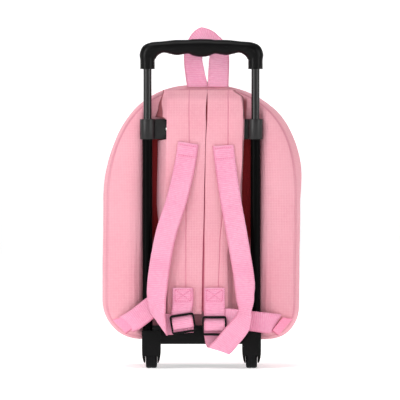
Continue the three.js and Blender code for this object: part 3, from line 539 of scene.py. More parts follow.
# Each line down a flap, as rows of the share of its height and x in millimetres.
band_shape = {
    -1: {
        "fold": [(0, -41.6), (0.3, -42.2), (0.5, -43.5), (0.76, -43), (0.87, -42.5), (0.93, -41.5), (1, -41)],
        "edge": [
            (0, -42.6), (0.2, -43.6), (0.36, -52), (0.5, -55),
            (0.78, -53.5), (0.86, -57.5), (0.92, -53), (1, -47),
        ],
        "stitch": [(0, -18.5), (0.5, -19), (0.78, -14.7), (1, -14.7)],
    },
    1: {
        "fold": [(0, 32), (0.26, 31.5), (0.5, 45.5), (0.7, 49.6), (0.9, 50.5), (0.965, 49), (1, 38)],
        "edge": [(0, 37.4), (0.26, 38), (0.5, 49.5), (0.87, 52.5), (0.965, 51.5), (1, 41)],
        "stitch": [(0, 21), (0.12, 21.2), (0.3, 22.8), (0.46, 26.4), (0.78, 33.7), (1, 33.7)],
    },
}
notch_low = 278.6 * mm
notch_high = 306.6 * mm
bend = 0.74  # the share of a flap that lies before its fold
slit = [(0, 2.2), (0.12, 2.4), (0.3, 3.0), (0.5, 3.9), (0.74, 4.9), (0.87, 6.4), (1, 7.2)]
slit_gap = [(63, 2.0), (100, 1.8), (190, 1.0), (270, 0.45), (337, 0.35)]
band_stand = [(0, 1.0), (0.25, 1.02), (0.6, 1), (0.87, 0.94), (0.95, 0.62), (1, 0.06)]
band_thick = 1.6 * mm
turned_in = 0.07  # the share of the right flap that is turned in under the left one


def slit_half(z):
    """Half the slit's width at that height: open before the bracket and again towards the hem."""
    gap = between(slit_gap, z / mm) + 0.95 * hump(z, 316 * mm, 17 * mm)
    return min(gap, 0.3 + (337 * mm - z) / (8 * mm)) * mm


def in_notch(z):
    """1 where the bracket comes out from under the band's outer edge."""
    return ease(z, notch_low, notch_low + 1.2 * mm) * ease(z, notch_high, notch_high - 1.2 * mm)


def turned_edge(share, up):
    """1 on the part of the right flap that is turned in under the left one, but for its two ends."""
    return ease(share, turned_in, turned_in * 0.72) * ease(up, 0, 0.03) * ease(up, 1, 0.985)


def band_place(side):
    shape = band_shape[side]

    def place(across, up):
        share = across if side > 0 else 1 - across
        z = band_hem + (band_top - band_hem) * up
        fold = between(shape["fold"], up) * mm
        edge = between(shape["edge"], up) * mm
        start = between(slit, up) * mm + side * max(slit_half(z), 0.15 * mm)
        hidden = in_notch(z)
        under = turned_edge(share, up) * (side > 0)
        depth = (band_front - panel_back + 0.3 * mm) * between(band_stand, up)
        if share < bend:
            part = share / bend
            if side > 0:
                part = max(share - turned_in, 0) / (bend - turned_in)
                tuck = 2 * slit_half(z) + 2.6 * mm
                start -= tuck * (1 - min(share / turned_in, 1)) * ease(up, 0, 0.03) * ease(up, 1, 0.985)
            x = start + (fold - start) * part
            y = depth * (1 - 0.06 * (1 - part) ** 3 - 0.1 * part**6) + 2.1 * mm * under
        else:
            part = (share - bend) / (1 - bend)
            x = fold + (edge - fold) * part * (1 - hidden * (side < 0))
            y = depth * (0.9 - (0.9 - 0.62 * hidden) * part**1.15)
        crease = 0.9 * noise.noise(Vector((x * 26, z * 8, 5.0 + side)))
        crease += 0.3 * noise.noise(Vector((x * 70, z * 30, 2.0)))
        groove = hump(x, between(shape["stitch"], up) * mm, 0.8 * mm) * (share < bend)
        hem = hump(z, band_hem + 8 * mm, 1.2 * mm)
        y += (crease * 0.7 + 0.7 * groove + 0.5 * hem) * mm * (1 - ease(up, 0.94, 1))
        return Vector((x, seam_y + panel_back - 0.3 * mm + y, z)), (x, z)

    return place


def band_seam(side):
    """The row of stitches down the flap, and painted shade in the stitching's colour on the right flap's turned
    edge, seen in the slit.
    """
    shape = band_shape[side]

    def dark(across, up):
        share = across if side > 0 else 1 - across
        if share >= bend:
            return 0.0
        # The turned edge seen in the slit takes the stitching's colour as painted shade.
        if side > 0 and share < turned_in:
            return ease(share, turned_in * 0.95, turned_in * 0.7)
        fold = between(shape["fold"], up) * mm
        start = between(slit, up) * mm
        x = start + (fold - start) * share / bend
        return 0.6 * hump(x, between(shape["stitch"], up) * mm, 0.55 * mm)

    return dark


def band_shade(side):
    """Painted shade along the flap's outer edge above the bracket, wider towards the bracket, along the right
    flap's top, and on its turned edge seen in the slit.
    """

    def deep(across, up):
        share = across if side > 0 else 1 - across
        z = band_hem + (band_top - band_hem) * up
        part = (share - bend) / (1 - bend)
        reach = 0.2 + 0.5 * ease(z, 336 * mm, 304 * mm)
        edge = 0.8 * ease(z, 304 * mm, 306 * mm) * ease(part, 1 - reach, 1.08 - reach)
        top = 0.5 * (side > 0) * ease(part, -0.04, 0.1) * ease(z, 324 * mm, 332 * mm)
        slit_shade = (side > 0) * ease(share, turned_in * 0.95, turned_in * 0.7)
        return max(edge, top, slit_shade * (0.2 + 0.8 * ease(z, 210 * mm, 275 * mm)))

    return deep


for side, name, cut_size in ((-1, "left", (0.064, 0.274)), (1, "right", (0.06, 0.272))):
    band = cut_cloth(
        f"centre_band_cloth_{name}", 100, 150, band_place(side), band_thick, polyester,
        seam=band_seam(side), shade=band_shade(side), even=False,
    )
    sew(band, "fabric", f"centre_band_{name}")

# Webbing
# 25 mm polypropylene webbing, woven in ribs across its length with a firm selvedge. It is cooler and a little
# brighter than the bag's cloth. The real ribs are 1.2 mm apart, too fine to show, and are drawn at 2.3 mm.
ribs = (5.0 * mm, 2.3 * mm)
ribbed_webbing = cloth_material("polypropylene_webbing", "#F4AFC9", "#E886AB", ribs, 0.4 * mm, ribs_only=True)
strap_width = 25.6 * mm
strap_thick = 1.3 * mm
clear = 0.3 * mm
strap_layer = strap_thick + clear
half_spacing = 66 * mm
strap_y = band_front - clear - strap_thick / 2
strap_lift = 8 * mm
buckle_thick = 2.6 * mm
buckle_y = strap_y - 2 * strap_layer - strap_thick / 2 - clear - buckle_thick / 2
buckles = {
    "left": {"x": -22.7 * mm, "z": 55.4 * mm, "tilt": math.radians(9)},
    "right": {"x": 15.8 * mm, "z": 52.6 * mm, "tilt": 0.0},
}
buckle_size = Vector((30 * mm, 24 * mm))
tail_top = 99.1 * mm
anchor_z = 276 * mm


def curve_point(points, at):
    """A point of the smooth curve through the points, at from 0 to 1."""
    last = len(points) - 1
    k = min(int(at * last), last - 1)
    t = at * last - k
    p1, p2 = points[k], points[k + 1]
    p0 = points[k - 1] if k else p1 * 2 - p2
    p3 = points[k + 2] if k + 2 <= last else p2 * 2 - p1
    d0, d1, d2 = (max((b - a).length ** 0.5, 1e-4) for a, b in ((p0, p1), (p1, p2), (p2, p3)))
    lean1 = ((p1 - p0) / d0 - (p2 - p0) / (d0 + d1) + (p2 - p1) / d1) * d1
    lean2 = ((p2 - p1) / d1 - (p3 - p1) / (d1 + d2) + (p3 - p2) / d2) * d1
    bend2 = (p2 - p1) * 3 - lean1 * 2 - lean2
    bend3 = (p1 - p2) * 2 + lean1 + lean2
    return p1 + lean1 * t + bend2 * t**2 + bend3 * t**3


# The webbing's section, once round: across as a share of its width and up as a share of its thickness.
webbing_columns = 10
web_top = [(-0.485 + 0.97 * k / webbing_columns, 0.5) for k in range(webbing_columns + 1)]
web_section = web_top + [(0.5, 0.0)] + [(a, -b) for a, b in reversed(web_top)] + [(-0.5, 0.0)]


def webbing(name, rows, steps, *nodes, body="bag"):
    """A length of webbing along rows of (x, y, z, wide, stretch), y from the back seam and wide its lie."""
    line = [Vector((row[0], seam_y + row[1], row[2])) for row in rows]
    wides = [Vector(row[3]).normalized() for row in rows]
    stretches = [row[4] if len(row) > 4 else 1 for row in rows]
    stations = []
    run = 0.0
    for k in range(steps + 1):
        at = k / steps
        middle = curve_point(line, at)
        along = (curve_point(line, min(at + 0.002, 1)) - curve_point(line, max(at - 0.002, 0))).normalized()
        place = at * (len(rows) - 1)
        low = min(int(place), len(rows) - 2)
        share = place - low
        soft = share * share * (3 - 2 * share)
        wide = wides[low].lerp(wides[low + 1], soft).normalized()
        stretch = stretches[low] + (stretches[low + 1] - stretches[low]) * soft
        if stations:
            run += (middle - stations[-1][0]).length
        stations.append((middle, wide * stretch, along.cross(wide).normalized(), run))
    inner = 1 if "left" in name else -1  # the selvedge nearer the middle of the bag is in shade
    bm = bmesh.new()
    uv = bm.loops.layers.uv.new("cloth")
    dark = bm.verts.layers.float.new("seam")
    count = len(web_section)
    bmesh.ops.create_grid(bm, x_segments=count, y_segments=steps, size=0.5, calc_uvs=False)
    cut = {}
    for v in bm.verts:
        k, row = round((v.co.x + 0.5) * count), round((v.co.y + 0.5) * steps)
        across, up = web_section[k % count]
        middle, wide, face, run = stations[row]
        crown = 0.22 * mm * math.cos(across * math.pi)
        crown += 0.3 * mm * noise.noise(Vector((run * 55, across * 1.5, 9.0)))
        frayed = 1 + 0.006 * math.sin(run / (0.37 * mm)) * (abs(across) > 0.45)
        cut[v] = (across * strap_width, run)
        # Both selvedges get a faint dark line, and the one nearer the middle of the bag a stronger painted
        # shade.
        v[dark] = ease(abs(across), 0.41, 0.46) * (0.5 if across * inner > 0 else 0.08)
        v.co = middle + wide * across * frayed * strap_width + face * (up * strap_thick + crown)
    for face in bm.faces:
        for loop in face.loops:
            loop[uv].uv = cut[loop.vert]
    bmesh.ops.remove_doubles(bm, verts=bm.verts, dist=0.005 * mm)
    bmesh.ops.holes_fill(bm, edges=[e for e in bm.edges if e.is_boundary], sides=0)
    bmesh.ops.recalc_face_normals(bm, faces=bm.faces)
    strap = finish_mesh(bm, name, ribbed_webbing)
    sew(strap, "webbing", *nodes, body=body)
    return strap


def on_buckle(which, across, up, y, wide=(1, 0, 0)):
    """A place on a buckle's own axes, as shares of its size."""
    b = buckles[which]
    cos, sin = math.cos(b["tilt"]), math.sin(b["tilt"])
    dx, dz = across * buckle_size.x, up * buckle_size.y
    turned = (wide[0] * cos - wide[2] * sin, wide[1], wide[0] * sin + wide[2] * cos)
    return (b["x"] + dx * cos - dz * sin, y, b["z"] + dx * sin + dz * cos, turned)


# Shoulder straps
# Each is a length of webbing sewn to its centre band at the top. It hangs slack over the tube and turns back to
# its buckle at the bottom: the left one folds to the diagonal, the right one twists and folds below its buckle.
# Each row is across, up and out as shares, the lie of the width, and how much the width is stretched.
left_slack = [
    (-0.3, 0.88, 0.1, (1, 0, -0.16)),
    (-0.46, 0.665, 0.75, (1, 0, -0.24)),
    (-0.64, 0.49, 1, (1, 0, -0.2)),
    (-0.74, 0.343, 1.05, (1, 0, -0.1)),
    (-0.795, 0.23, 1.05, (1, 0, -0.02)),
    (-0.82, 0.152, 1.05, (0.97, -0.2, 0)),
    (-0.832, 0.083, 1.1, (0.88, -0.4, -0.1)),
    (-0.825, 0.02, 1.2, (0.8, -0.25, -0.5)),
    (-0.8, -0.035, 1.1, (0.66, -0.05, -0.74), 1.2),
    (-0.772, -0.06, 0.7, (0.566, 0, -0.824), 1.28),
    (-0.73, -0.057, 0.33, (0.4, 0, -0.92), 1.12),
    (-0.6, -0.06, 0.03, (0.05, 0, -1)),
]
right_slack = [
    (0.44, 0.88, 0.1, (1, 0, 0.1)),
    (0.54, 0.665, 0.7, (1, 0, 0.16)),
    (0.64, 0.49, 1, (1, 0, 0.16)),
    (0.72, 0.343, 1.15, (1, 0, 0.14)),
    (0.79, 0.2, 1.35, (1, -0.1, 0.05)),
    (0.805, 0.1, 1.8, (0.85, -0.5, 0)),
    (0.8, 0.02, 2.3, (0.6, -0.8, -0.08)),
    (0.775, -0.027, 2.3, (0.66, -0.65, -0.38)),
    (0.697, -0.072, 1.95, (0.76, -0.25, -0.6)),
    (0.56, -0.126, 1.5, (0.77, -0.02, -0.64)),
    (0.417, -0.18, 1.25, (0.82, 0, -0.57)),
    (0.345, -0.202, 1.1, (0.88, 0, -0.47), 1.02),
    (0.312, -0.208, 0.62, (0.96, 0, -0.28), 1.04),
    (0.285, -0.2, 0.15, (0.98, 0, -0.2)),
    (0.26, -0.165, 0.01, (0.99, 0, -0.1)),
]


def slack(rows):
    """The rows of a hanging strap as places for webbing()."""
    return [
        (across * half_spacing, strap_y - out * strap_lift, band_hem + (anchor_z - band_hem) * rise, *lie)
        for across, rise, out, *lie in rows
    ]


left_buckle = Vector((buckles["left"]["x"], strap_y + clear, buckles["left"]["z"]))
webbing(
    "shoulder_webbing_left",
    [
        (-15.9 * mm, strap_y, anchor_z, (1, 0, -0.16)),
        *slack(left_slack),
        (*(left_buckle + Vector((-7.5, 0, -0.4)) * mm), (0, 0, -1)),
        (*(left_buckle + Vector((13.2, 0, 1.8)) * mm), (0, 0, -1)),
    ],
    220,
    "shoulder_strap_left",
)
right_x = buckles["right"]["x"]
webbing(
    "shoulder_webbing_right",
    [
        (26.3 * mm, strap_y, anchor_z - 3 * mm, (1, 0, 0.07)),
        *slack(right_slack),
        on_buckle("right", 0, -0.4, strap_y),
        on_buckle("right", 0, 0, strap_y),
        on_buckle("right", 0, 0.4, strap_y),
        (right_x, strap_y, 76 * mm, (1, 0, 0)),
        (right_x, strap_y, tail_top - 2 * mm, (1, 0, 0)),
    ],
    260,
    "shoulder_strap_right",
)

# Corner straps and patches
# A short length of webbing comes out of a cloth patch, sewn over each bottom corner, and runs behind the
# shoulder strap to its buckle. Each row is along, up and standing out as shares, and the lie of the width.
corner_left = [
    (0, 0, 0, (0.68, 0, -0.73)),
    (0.3, 0.24, 0.7, (0.6, 0, -0.8)),
    (0.55, 0.5, 0.69, (0.54, 0, -0.84)),
    (0.8, 0.78, 0.67, (0.54, 0, -0.84)),
    (1, 0.98, 0.6, (0.5, 0, -0.86)),
]
corner_right = [
    (0, 0.05, 0, (0.45, 0, 0.89)),
    (0.14, 0.07, 0.6, (0.3, 0, 0.95)),
    (0.28, 0.12, 1.08, (-0.05, 0, 1)),
    (0.48, 0.18, 1.08, (-0.17, 0, 1)),
    (0.7, 0.25, 1.03, (-0.17, 0, 1)),
    (0.86, 0.28, 0.85, (-0.1, 0, 1)),
    (1, 0.28, 0.75, (0, 0, 1)),
]
corner_start = Vector((half_width - corner.x * 0.56, bag_low.z + corner.y * 0.38))
leg_clear = -24.5 * mm - clear - strap_thick / 2
patch_lift = 2.0 * mm
patch_thick = 1.2 * mm
patch_corners = {
    "left": ((-92.3, 42.3), (-79.6, 52.0), (-109.0, 59.0), (-95.4, 63.0)),
    "right": ((93.5, 41.0), (86.2, 46.5), (111.0, 60.5), (99.6, 62.5)),
}
# Plain woven binding cloth in a stronger pink, which sets the patches off from the panel.
patch_cloth = cloth_material("pink_binding_cloth", "#FB9DBB", "#F285A8", check, 0.2 * mm)


def patch_seam(across, up):
    """The row of stitches along the patch's lower edge."""
    return 0.9 * ease(up, 0.1, 0.02)


for side, name, run in ((-1, "left", corner_left), (1, "right", corner_right)):
    b = buckles[name]
    end = b["x"] - buckle_size.x * 1.12 if side < 0 else b["x"] + strap_width / 2 + clear
    near = panel_back - panel_relief(side * corner_start.x, corner_start.y) - patch_lift
    webbing(
        f"corner_webbing_{name}",
        [
            (
                side * corner_start.x + (end - side * corner_start.x) * along,
                near + (leg_clear - near) * stand,
                corner_start.y + up * strap_width,
                wide,
            )
            for along, up, stand, wide in run
        ],
        70,
        f"corner_strap_{name}",
    )

    def patch_place(across, up, corners=patch_corners[name]):
        a, b, c, d = (Vector(place) * mm for place in corners)
        x, z = a.lerp(b, across).lerp(c.lerp(d, across), up)
        lift = (1.5 + 2.6 * ease(across, 0, 0.9) + 0.5 * math.sin(math.pi * up)) * mm
        return Vector((x, seam_y + panel_back - panel_relief(x, z) - lift, z)), (x, z)

    patch = cut_cloth(
        f"corner_patch_cloth_{name}", 24, 24, patch_place, patch_thick, patch_cloth, seam=patch_seam, even=False
    )
    sew(patch, "fabric", f"corner_patch_{name}")

# Buckle tabs
# A short length of the webbing is folded round each buckle's middle bar. Its two layers lie on the centre
# band's lower end and are held there by a crossed box of stitches.
fold_y = buckle_y - buckle_thick / 2 - clear - strap_thick / 2
under_y = strap_y - strap_layer
tab_y = strap_y - 2 * strap_layer
bar = 3 / 24
for name in ("left", "right"):
    b = buckles[name]
    high = b["z"] + buckle_size.y / 2
    rise = high + (tail_top - high) * 0.4
    webbing(
        f"buckle_webbing_{name}",
        [
            (b["x"], tab_y, tail_top, (1, 0, 0)),
            (b["x"], tab_y, rise, (1, 0, 0)),
            on_buckle(name, 0, 0.5, tab_y),
            on_buckle(name, 0, 0.37, tab_y - 0.2 * mm),
            on_buckle(name, 0, 0.22, tab_y * 0.45 + fold_y * 0.55),
            on_buckle(name, 0, 0.09, fold_y),
            on_buckle(name, 0, -0.05, fold_y),
            on_buckle(name, 0, -0.08 - bar, fold_y * 0.65 + under_y * 0.35),
            on_buckle(name, 0, -0.09 - bar, fold_y * 0.25 + under_y * 0.75),
            on_buckle(name, 0, -0.03, under_y),
            on_buckle(name, 0, 0.25, under_y),
            on_buckle(name, 0, 0.5, under_y),
            (b["x"], under_y, rise, (1, 0, 0)),
            (b["x"], under_y, tail_top - 1 * mm, (1, 0, 0)),
        ],
        110,
        f"buckle_tab_{name}",
    )

# Stitching
# Polyester thread holds the webbing down: a crossed box on each buckle tab, and two rows across the top of
# each shoulder strap. The real stitches are 2.5 mm long and stand a little proud of the webbing.
stitch = 2.6 * mm
thread_radius = 0.42 * mm
box_half = 9.6 * mm
row_half = 10.5 * mm
# Spun polyester has a soft lustre. A deeper pink than the webbing's makes the rows read as fine dashes.
thread, tree, shader = new_material("spun_polyester_thread")
where = add(tree, "ShaderNodeTexCoord")
twist = add(tree, "ShaderNodeTexNoise", {"Vector": where.outputs["Object"], "Scale": 900.0, "Detail": 2.0})
tones = {"Color1": linear("#D9628C"), "Color2": linear("#EE8FB2")}
ply = add(tree, "ShaderNodeMixRGB", {"Fac": twist.outputs["Fac"], **tones})
tree.links.new(ply.outputs[0], shader.inputs["Base Color"])
shader.inputs["Roughness"].default_value = 0.6


def sew_line(bm, start, end):
    """A row of stitches from start to end, each a small bead of thread."""
    along = end - start
    count = max(round(along.length / stitch), 1)
    turn = along.to_track_quat("X", "Y").to_matrix().to_4x4()
    for k in range(count):
        middle = start + along * ((k + 0.5) / count)
        bead = Matrix.Diagonal((along.length / count * 0.42, thread_radius, thread_radius, 1))
        place = Matrix.Translation(middle) @ turn @ bead
        bmesh.ops.create_icosphere(bm, subdivisions=1, radius=1, matrix=place)


# The middle of each strap's top, and how steeply its rows of stitches run.
for name, top, slope in (("left", Vector((-15.9, 276)), -0.155), ("right", Vector((26.3, 273)), 0.1)):
    bm = bmesh.new()
    face = seam_y + tab_y - strap_thick / 2 - 0.35 * mm
    left, right = (buckles[name]["x"] + side * box_half for side in (-1, 1))
    low, high = tail_top - 16.5 * mm, tail_top - 2.5 * mm
    box = [Vector((x, face, z)) for x, z in ((left, low), (right, low), (right, high), (left, high))]
    for a, b in ((0, 1), (1, 2), (2, 3), (3, 0), (0, 2), (1, 3)):
        sew_line(bm, box[a], box[b])
    for drop in (3 * mm, 16 * mm):
        proud = seam_y + strap_y - strap_thick / 2 - 0.4 * mm - drop * 0.03
        middle = Vector((top.x * mm + slope * drop, proud, top.y * mm - drop))
        wide = Vector((1, 0, slope)).normalized() * row_half
        sew_line(bm, middle - wide, middle + wide)
    threads = finish_mesh(bm, f"stitching_{name}", thread)
    sew(threads, "webbing")

# Carry loop
# The same webbing, with both ends sewn side by side into the top seam. It stands up and twists over into a loop
# behind the pull grip. Each row is across, up and back as shares of the loop, and the lie of the width.
loop_rows = [
    (-1, 0, 0, (1, 0, 0)),
    (-1, 0.06, 0.02, (1, 0, 0)),
    (-1.2, 0.3, 0.15, (0.92, -0.3, 0)),
    (-1.36, 0.6, 0.4, (0.86, -0.45, -0.05)),
    (-1.22, 0.8, 0.8, (0.8, -0.45, -0.3)),
    (-0.8, 0.98, 1.15, (0.62, -0.5, -0.6)),
    (-0.2, 1.05, 1.5, (0.35, -0.45, -0.82)),
    (0.6, 0.92, 1.5, (-0.25, -0.55, -0.78)),
    (1.02, 0.74, 1.1, (-0.9, -0.4, -0.3)),
    (1.07, 0.5, 0.5, (-0.98, -0.12, -0.08)),
    (1.03, 0.25, 0.15, (-1, 0, 0)),
    (1, 0.06, 0.02, (-1, 0, 0)),
    (1, 0, 0, (-1, 0, 0)),
]
loop_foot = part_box("carry_loop")[0].z
loop_middle = Vector((7.5, 2)) * mm
loop_size = Vector((13, 9, 59.5)) * mm
webbing(
    "carry_loop_webbing",
    [
        (
            loop_middle.x + across * loop_size.x,
            loop_middle.y + back * loop_size.y,
            loop_foot + rise * loop_size.z,
            wide,
        )
        for across, rise, back, wide in loop_rows
    ],
    150,
    "carry_loop",
)

# Moulded plastic and metal
# The buckles, bracket, base, grip and wheels are injection moulded in black, with slightly softened edges.
# The tubes are coated steel, and the rivets, axles and zip sliders are plated.
sharp_from = math.radians(38)
bevel_from = math.radians(32)
merge_gap = 0.002 * mm


def finish(tree, shader, share, tone, roughness, spread):
    """The shader's colour between two tones, and its roughness within that spread, both by the share."""
    tones = {"Color1": linear(tone[0]), "Color2": linear(tone[1])}
    shade = add(tree, "ShaderNodeMixRGB", {"Fac": share, **tones})
    tree.links.new(shade.outputs[0], shader.inputs["Base Color"])
    span = {"To Min": roughness - spread, "To Max": roughness + spread}
    gloss = add(tree, "ShaderNodeMapRange", {"Value": share, **span})
    tree.links.new(gloss.outputs[0], shader.inputs["Roughness"])


def plastic_material(name, tone, roughness, texture_depth, specular=0.1):
    """Black moulded plastic with the fine spark texture of its mould."""
    material, tree, shader = new_material(name)
    where = add(tree, "ShaderNodeTexCoord")
    where = where.outputs["Object"]
    spark = add(tree, "ShaderNodeTexNoise", {"Vector": where, "Scale": 1400.0, "Detail": 2.0})
    scuff = add(tree, "ShaderNodeTexNoise", {"Vector": where, "Scale": 45.0, "Detail": 4.0})
    finish(tree, shader, scuff.outputs["Fac"], tone, roughness, 0.07)
    sparks = {"Height": spark.outputs["Fac"], "Strength": 0.3, "Distance": texture_depth}
    bump = add(tree, "ShaderNodeBump", sparks)
    tree.links.new(bump.outputs[0], shader.inputs["Normal"])
    shader.inputs["Specular IOR Level"].default_value = specular
    return material


# Polypropylene is a deep black with a soft gloss. Glass-filled nylon is greyer and takes more light, and the
# wheels' nylon is dull from the ground.
satin_plastic = plastic_material("moulded_polypropylene", ("#050505", "#0A0A0B"), 0.3, 0.05 * mm)
filled_plastic = plastic_material("moulded_glass_filled_nylon", ("#141314", "#1E1D1D"), 0.34, 0.05 * mm, 0.3)
hard_plastic = plastic_material("moulded_wheel_nylon", ("#0E0E0F", "#18181A"), 0.55, 0.1 * mm)


def metal_material(name, tone, metallic, roughness, streak, specular=0.5):
    """Drawn or plated metal: long faint streaks along Z."""
    material, tree, shader = new_material(name)
    where = add(tree, "ShaderNodeTexCoord")
    drawn = {"Vector": where.outputs["Object"], "Scale": (900.0, 900.0, 12.0)}
    stretch = add(tree, "ShaderNodeMapping", drawn)
    lines = add(tree, "ShaderNodeTexNoise", {"Vector": stretch.outputs[0], "Scale": 1.0, "Detail": 2.0})
    finish(tree, shader, lines.outputs["Fac"], tone, roughness, streak)
    shader.inputs["Metallic"].default_value = metallic
    shader.inputs["Specular IOR Level"].default_value = specular
    return material


# Enamel shows thin bright lights down a tube, powder coat hardly any, and zinc plate is pale with soft streaks.
black_enamel = metal_material("black_enamelled_steel", ("#030304", "#060607"), 0.0, 0.1, 0.03, 0.34)
black_powder = metal_material("black_powder_coated_steel", ("#030303", "#060606"), 0.0, 0.36, 0.05, 0.03)
zinc_plate = metal_material("zinc_plated_steel", ("#B9B9B4", "#D6D6D2"), 1.0, 0.3, 0.08)


def moulded(node, name, edge, material, slot):
    """A smoother copy of a hard solid: its flat faces made whole, its corners rounded."""
    bm = bmesh.new()
    bm.from_mesh(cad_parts[node].data)
    bmesh.ops.remove_doubles(bm, verts=bm.verts, dist=0.005 * mm)
    bmesh.ops.dissolve_limit(bm, angle_limit=math.radians(1), verts=bm.verts, edges=bm.edges)
    sharp = [e for e in bm.edges if len(e.link_faces) == 2 and e.calc_face_angle(0) > bevel_from]
    bmesh.ops.bevel(
        bm, geom=sharp, offset=edge, offset_type="OFFSET", segments=2, profile=0.5, affect="EDGES",
        material=-1, clamp_overlap=True,
    )
    piece = finish_mesh(bm, name, material)
    piece.data.set_sharp_from_angle(angle=sharp_from)
    sew(piece, slot, node)


def turned(node, name, profile, axis, material, slot, body="bag", closed=True, steps=64):
    """A round piece about its node's middle: an outline of (radius, along) spun once round the axis."""
    low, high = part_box(node)
    middle = (low + high) / 2
    axis = Vector(axis)
    out = Vector((1, 0, 0)) if axis.z else Vector((0, 0, 1))
    bm = bmesh.new()
    verts = [bm.verts.new(middle + out * radius + axis * along) for radius, along in profile]
    pairs = list(zip(verts, verts[1:])) + ([(verts[-1], verts[0])] if closed else [])
    edges = [bm.edges.new(pair) for pair in pairs]
    bmesh.ops.spin(
        bm, geom=verts + edges, cent=middle, axis=axis, angle=2 * math.pi, steps=steps, use_merge=True
    )
    bmesh.ops.remove_doubles(bm, verts=bm.verts, dist=merge_gap)
    bmesh.ops.recalc_face_normals(bm, faces=bm.faces)
    piece = finish_mesh(bm, name, material)
    piece.data.set_sharp_from_angle(angle=sharp_from)
    sew(piece, slot, node, body=body)


# Buckles
# Three-bar slides, moulded in black, take up the shoulder straps. Each hangs by its middle bar in the fold of
# its tab, and the left one has tipped a little.
for name in ("left", "right"):
    moulded(f"buckle_{name}", f"buckle_plastic_{name}", 0.35 * mm, satin_plastic, "black_plastic")

# Zip
# A nylon coil zip on woven tape lies in the slot of the side wall. Its two cast sliders meet at the crown.
# The coil's turns are 1.3 mm apart, too fine for the picture, and are drawn at 2 mm.
zip_cloth = cloth_material("nylon_coil_zip", "#F49DB9", "#E27FA1", check, 0.2 * mm)
coil_pitch = 2.0 * mm
coil_half = 1.6 * mm
coil_height = 1.4 * mm
tape_half = 3.7 * mm
tape_thick = 1.0 * mm
shares = (k / 4000 for k in range(4000))
zip_start = next(share for share in shares if outline_at(share * girth).y > zip_stop + clear)


def zip_place(across, up):
    """The tape in the side wall's slot, with the coil's turns standing up along its middle."""
    share = 1 - zip_start + (2 * zip_start - 1) * across
    run = share * girth
    side = (2 * up - 1) * tape_half
    arch = max(1 - (side / coil_half) ** 2, 0) ** 0.5
    turns = 0.72 + 0.28 * math.sin(2 * math.pi * run / coil_pitch + 0.8 * math.copysign(1, side))
    parting = 1 - 0.45 * hump(side, 0, 0.3 * mm)
    low = on_outline(share, wall_inset(zip_middle))
    swell = wall_swell(low, math.sin(math.pi * zip_middle / wall_depth))
    flat = on_outline(share, wall_inset(zip_middle) - swell - coil_height * arch * turns * parting)
    return Vector((flat.x, seam_y + zip_middle + side, flat.y)), (run, side)


zip_tape = cut_cloth("zip_tape", 1300, 14, zip_place, tape_thick, zip_cloth, even=False)
sew(zip_tape, "zip_tape", "zip_chain")
for name in ("left", "right"):
    moulded(f"zip_slider_{name}", f"zip_pull_{name}", 0.3 * mm, zinc_plate, "zinc")

# Base and bracket
# The base is one black moulding with a platform, an apron, two wheel housings and two feet.
# The bracket is another, riveted through the back panel, and its two sleeves hold the tubes.
rivet_radius = 2 * mm
head_radius = 3.4 * mm
head_rise = 2.2 * mm
dome_steps = 8
moulded("base", "base_plastic", 0.6 * mm, satin_plastic, "black_plastic")
moulded("tube_bracket", "bracket_plastic", 0.4 * mm, filled_plastic, "black_plastic")
for name in ("left", "right"):
    low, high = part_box(f"rivet_{name}")
    long = (high.y - low.y) / 2
    rivet_outline = [(0, long), (rivet_radius, long), (rivet_radius, head_rise - long)]
    for k in range(dome_steps):
        turn = k / dome_steps * math.pi / 2
        rivet_outline.append((head_radius * math.cos(turn), head_rise * (1 - math.sin(turn)) - long))
    rivet_outline.append((0, -long))
    turned(f"rivet_{name}", f"rivet_metal_{name}", rivet_outline, (0, 1, 0), zinc_plate, "zinc", closed=False)

# Wheels
# Solid nylon wheels, moulded with a hub, a shallow dish on both sides and a fine line round the tread. Each
# turns on a plain steel axle that is pressed into the base's housing.
axle_radius = 2.6 * mm
axle_bevel = 0.4 * mm
bore = 3 * mm
hub = 6 * mm
dish = 1.4 * mm
for name in ("left", "right"):
    low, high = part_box(f"wheel_{name}")
    half = (high.x - low.x) / 2
    tread = (high.z - low.z) / 2
    wheel_half = [
        (bore, -half), (hub, -half), (hub + 0.4 * mm, -half + dish), (tread * 0.7, -half + dish),
        (tread * 0.75, -half), (tread * 0.88, -half), (tread * 0.94, -half * 0.94),
        (tread * 0.985, -half * 0.8), (tread, -half * 0.6), (tread, -half * 0.06),
        (tread * 0.985, -half * 0.03),
    ]
    wheel_outline = wheel_half + [(r, -a) for r, a in reversed(wheel_half)]
    turned(
        f"wheel_{name}", f"wheel_plastic_{name}", wheel_outline, (1, 0, 0), hard_plastic, "wheel_plastic",
        f"{name}_wheel", steps=80,
    )
    low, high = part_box(f"axle_{name}")
    long = (high.x - low.x) / 2
    axle_half = [(0, -long), (axle_radius - axle_bevel, -long), (axle_radius, axle_bevel - long)]
    axle_outline = axle_half + [(r, -a) for r, a in reversed(axle_half)]
    turned(f"axle_{name}", f"axle_metal_{name}", axle_outline, (1, 0, 0), zinc_plate, "zinc", closed=False)

# Tubes
# Two thin steel tubes a side. The outer ones are powder coated and stand fixed in the base and the bracket, and
# the inner ones are enamelled and slide in them with the grip.
rim_bevel = 0.2 * mm
for name in ("left", "right"):
    for which, radius, wall, coat, body in (
        ("outer", 6 * mm, 0.65 * mm, black_powder, "bag"),
        ("inner", 5 * mm, 0.8 * mm, black_enamel, "handle"),
    ):
        low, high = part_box(f"{which}_tube_{name}")
        long = (high.z - low.z) / 2
        tube_half = [(radius - wall, -long), (radius - rim_bevel, -long), (radius, rim_bevel - long)]
        tube_outline = tube_half + [(r, -a) for r, a in reversed(tube_half)]
        tube_name = f"{which}_tube_metal_{name}"
        turned(f"{which}_tube_{name}", tube_name, tube_outline, (0, 0, 1), coat, "black_tube", body)

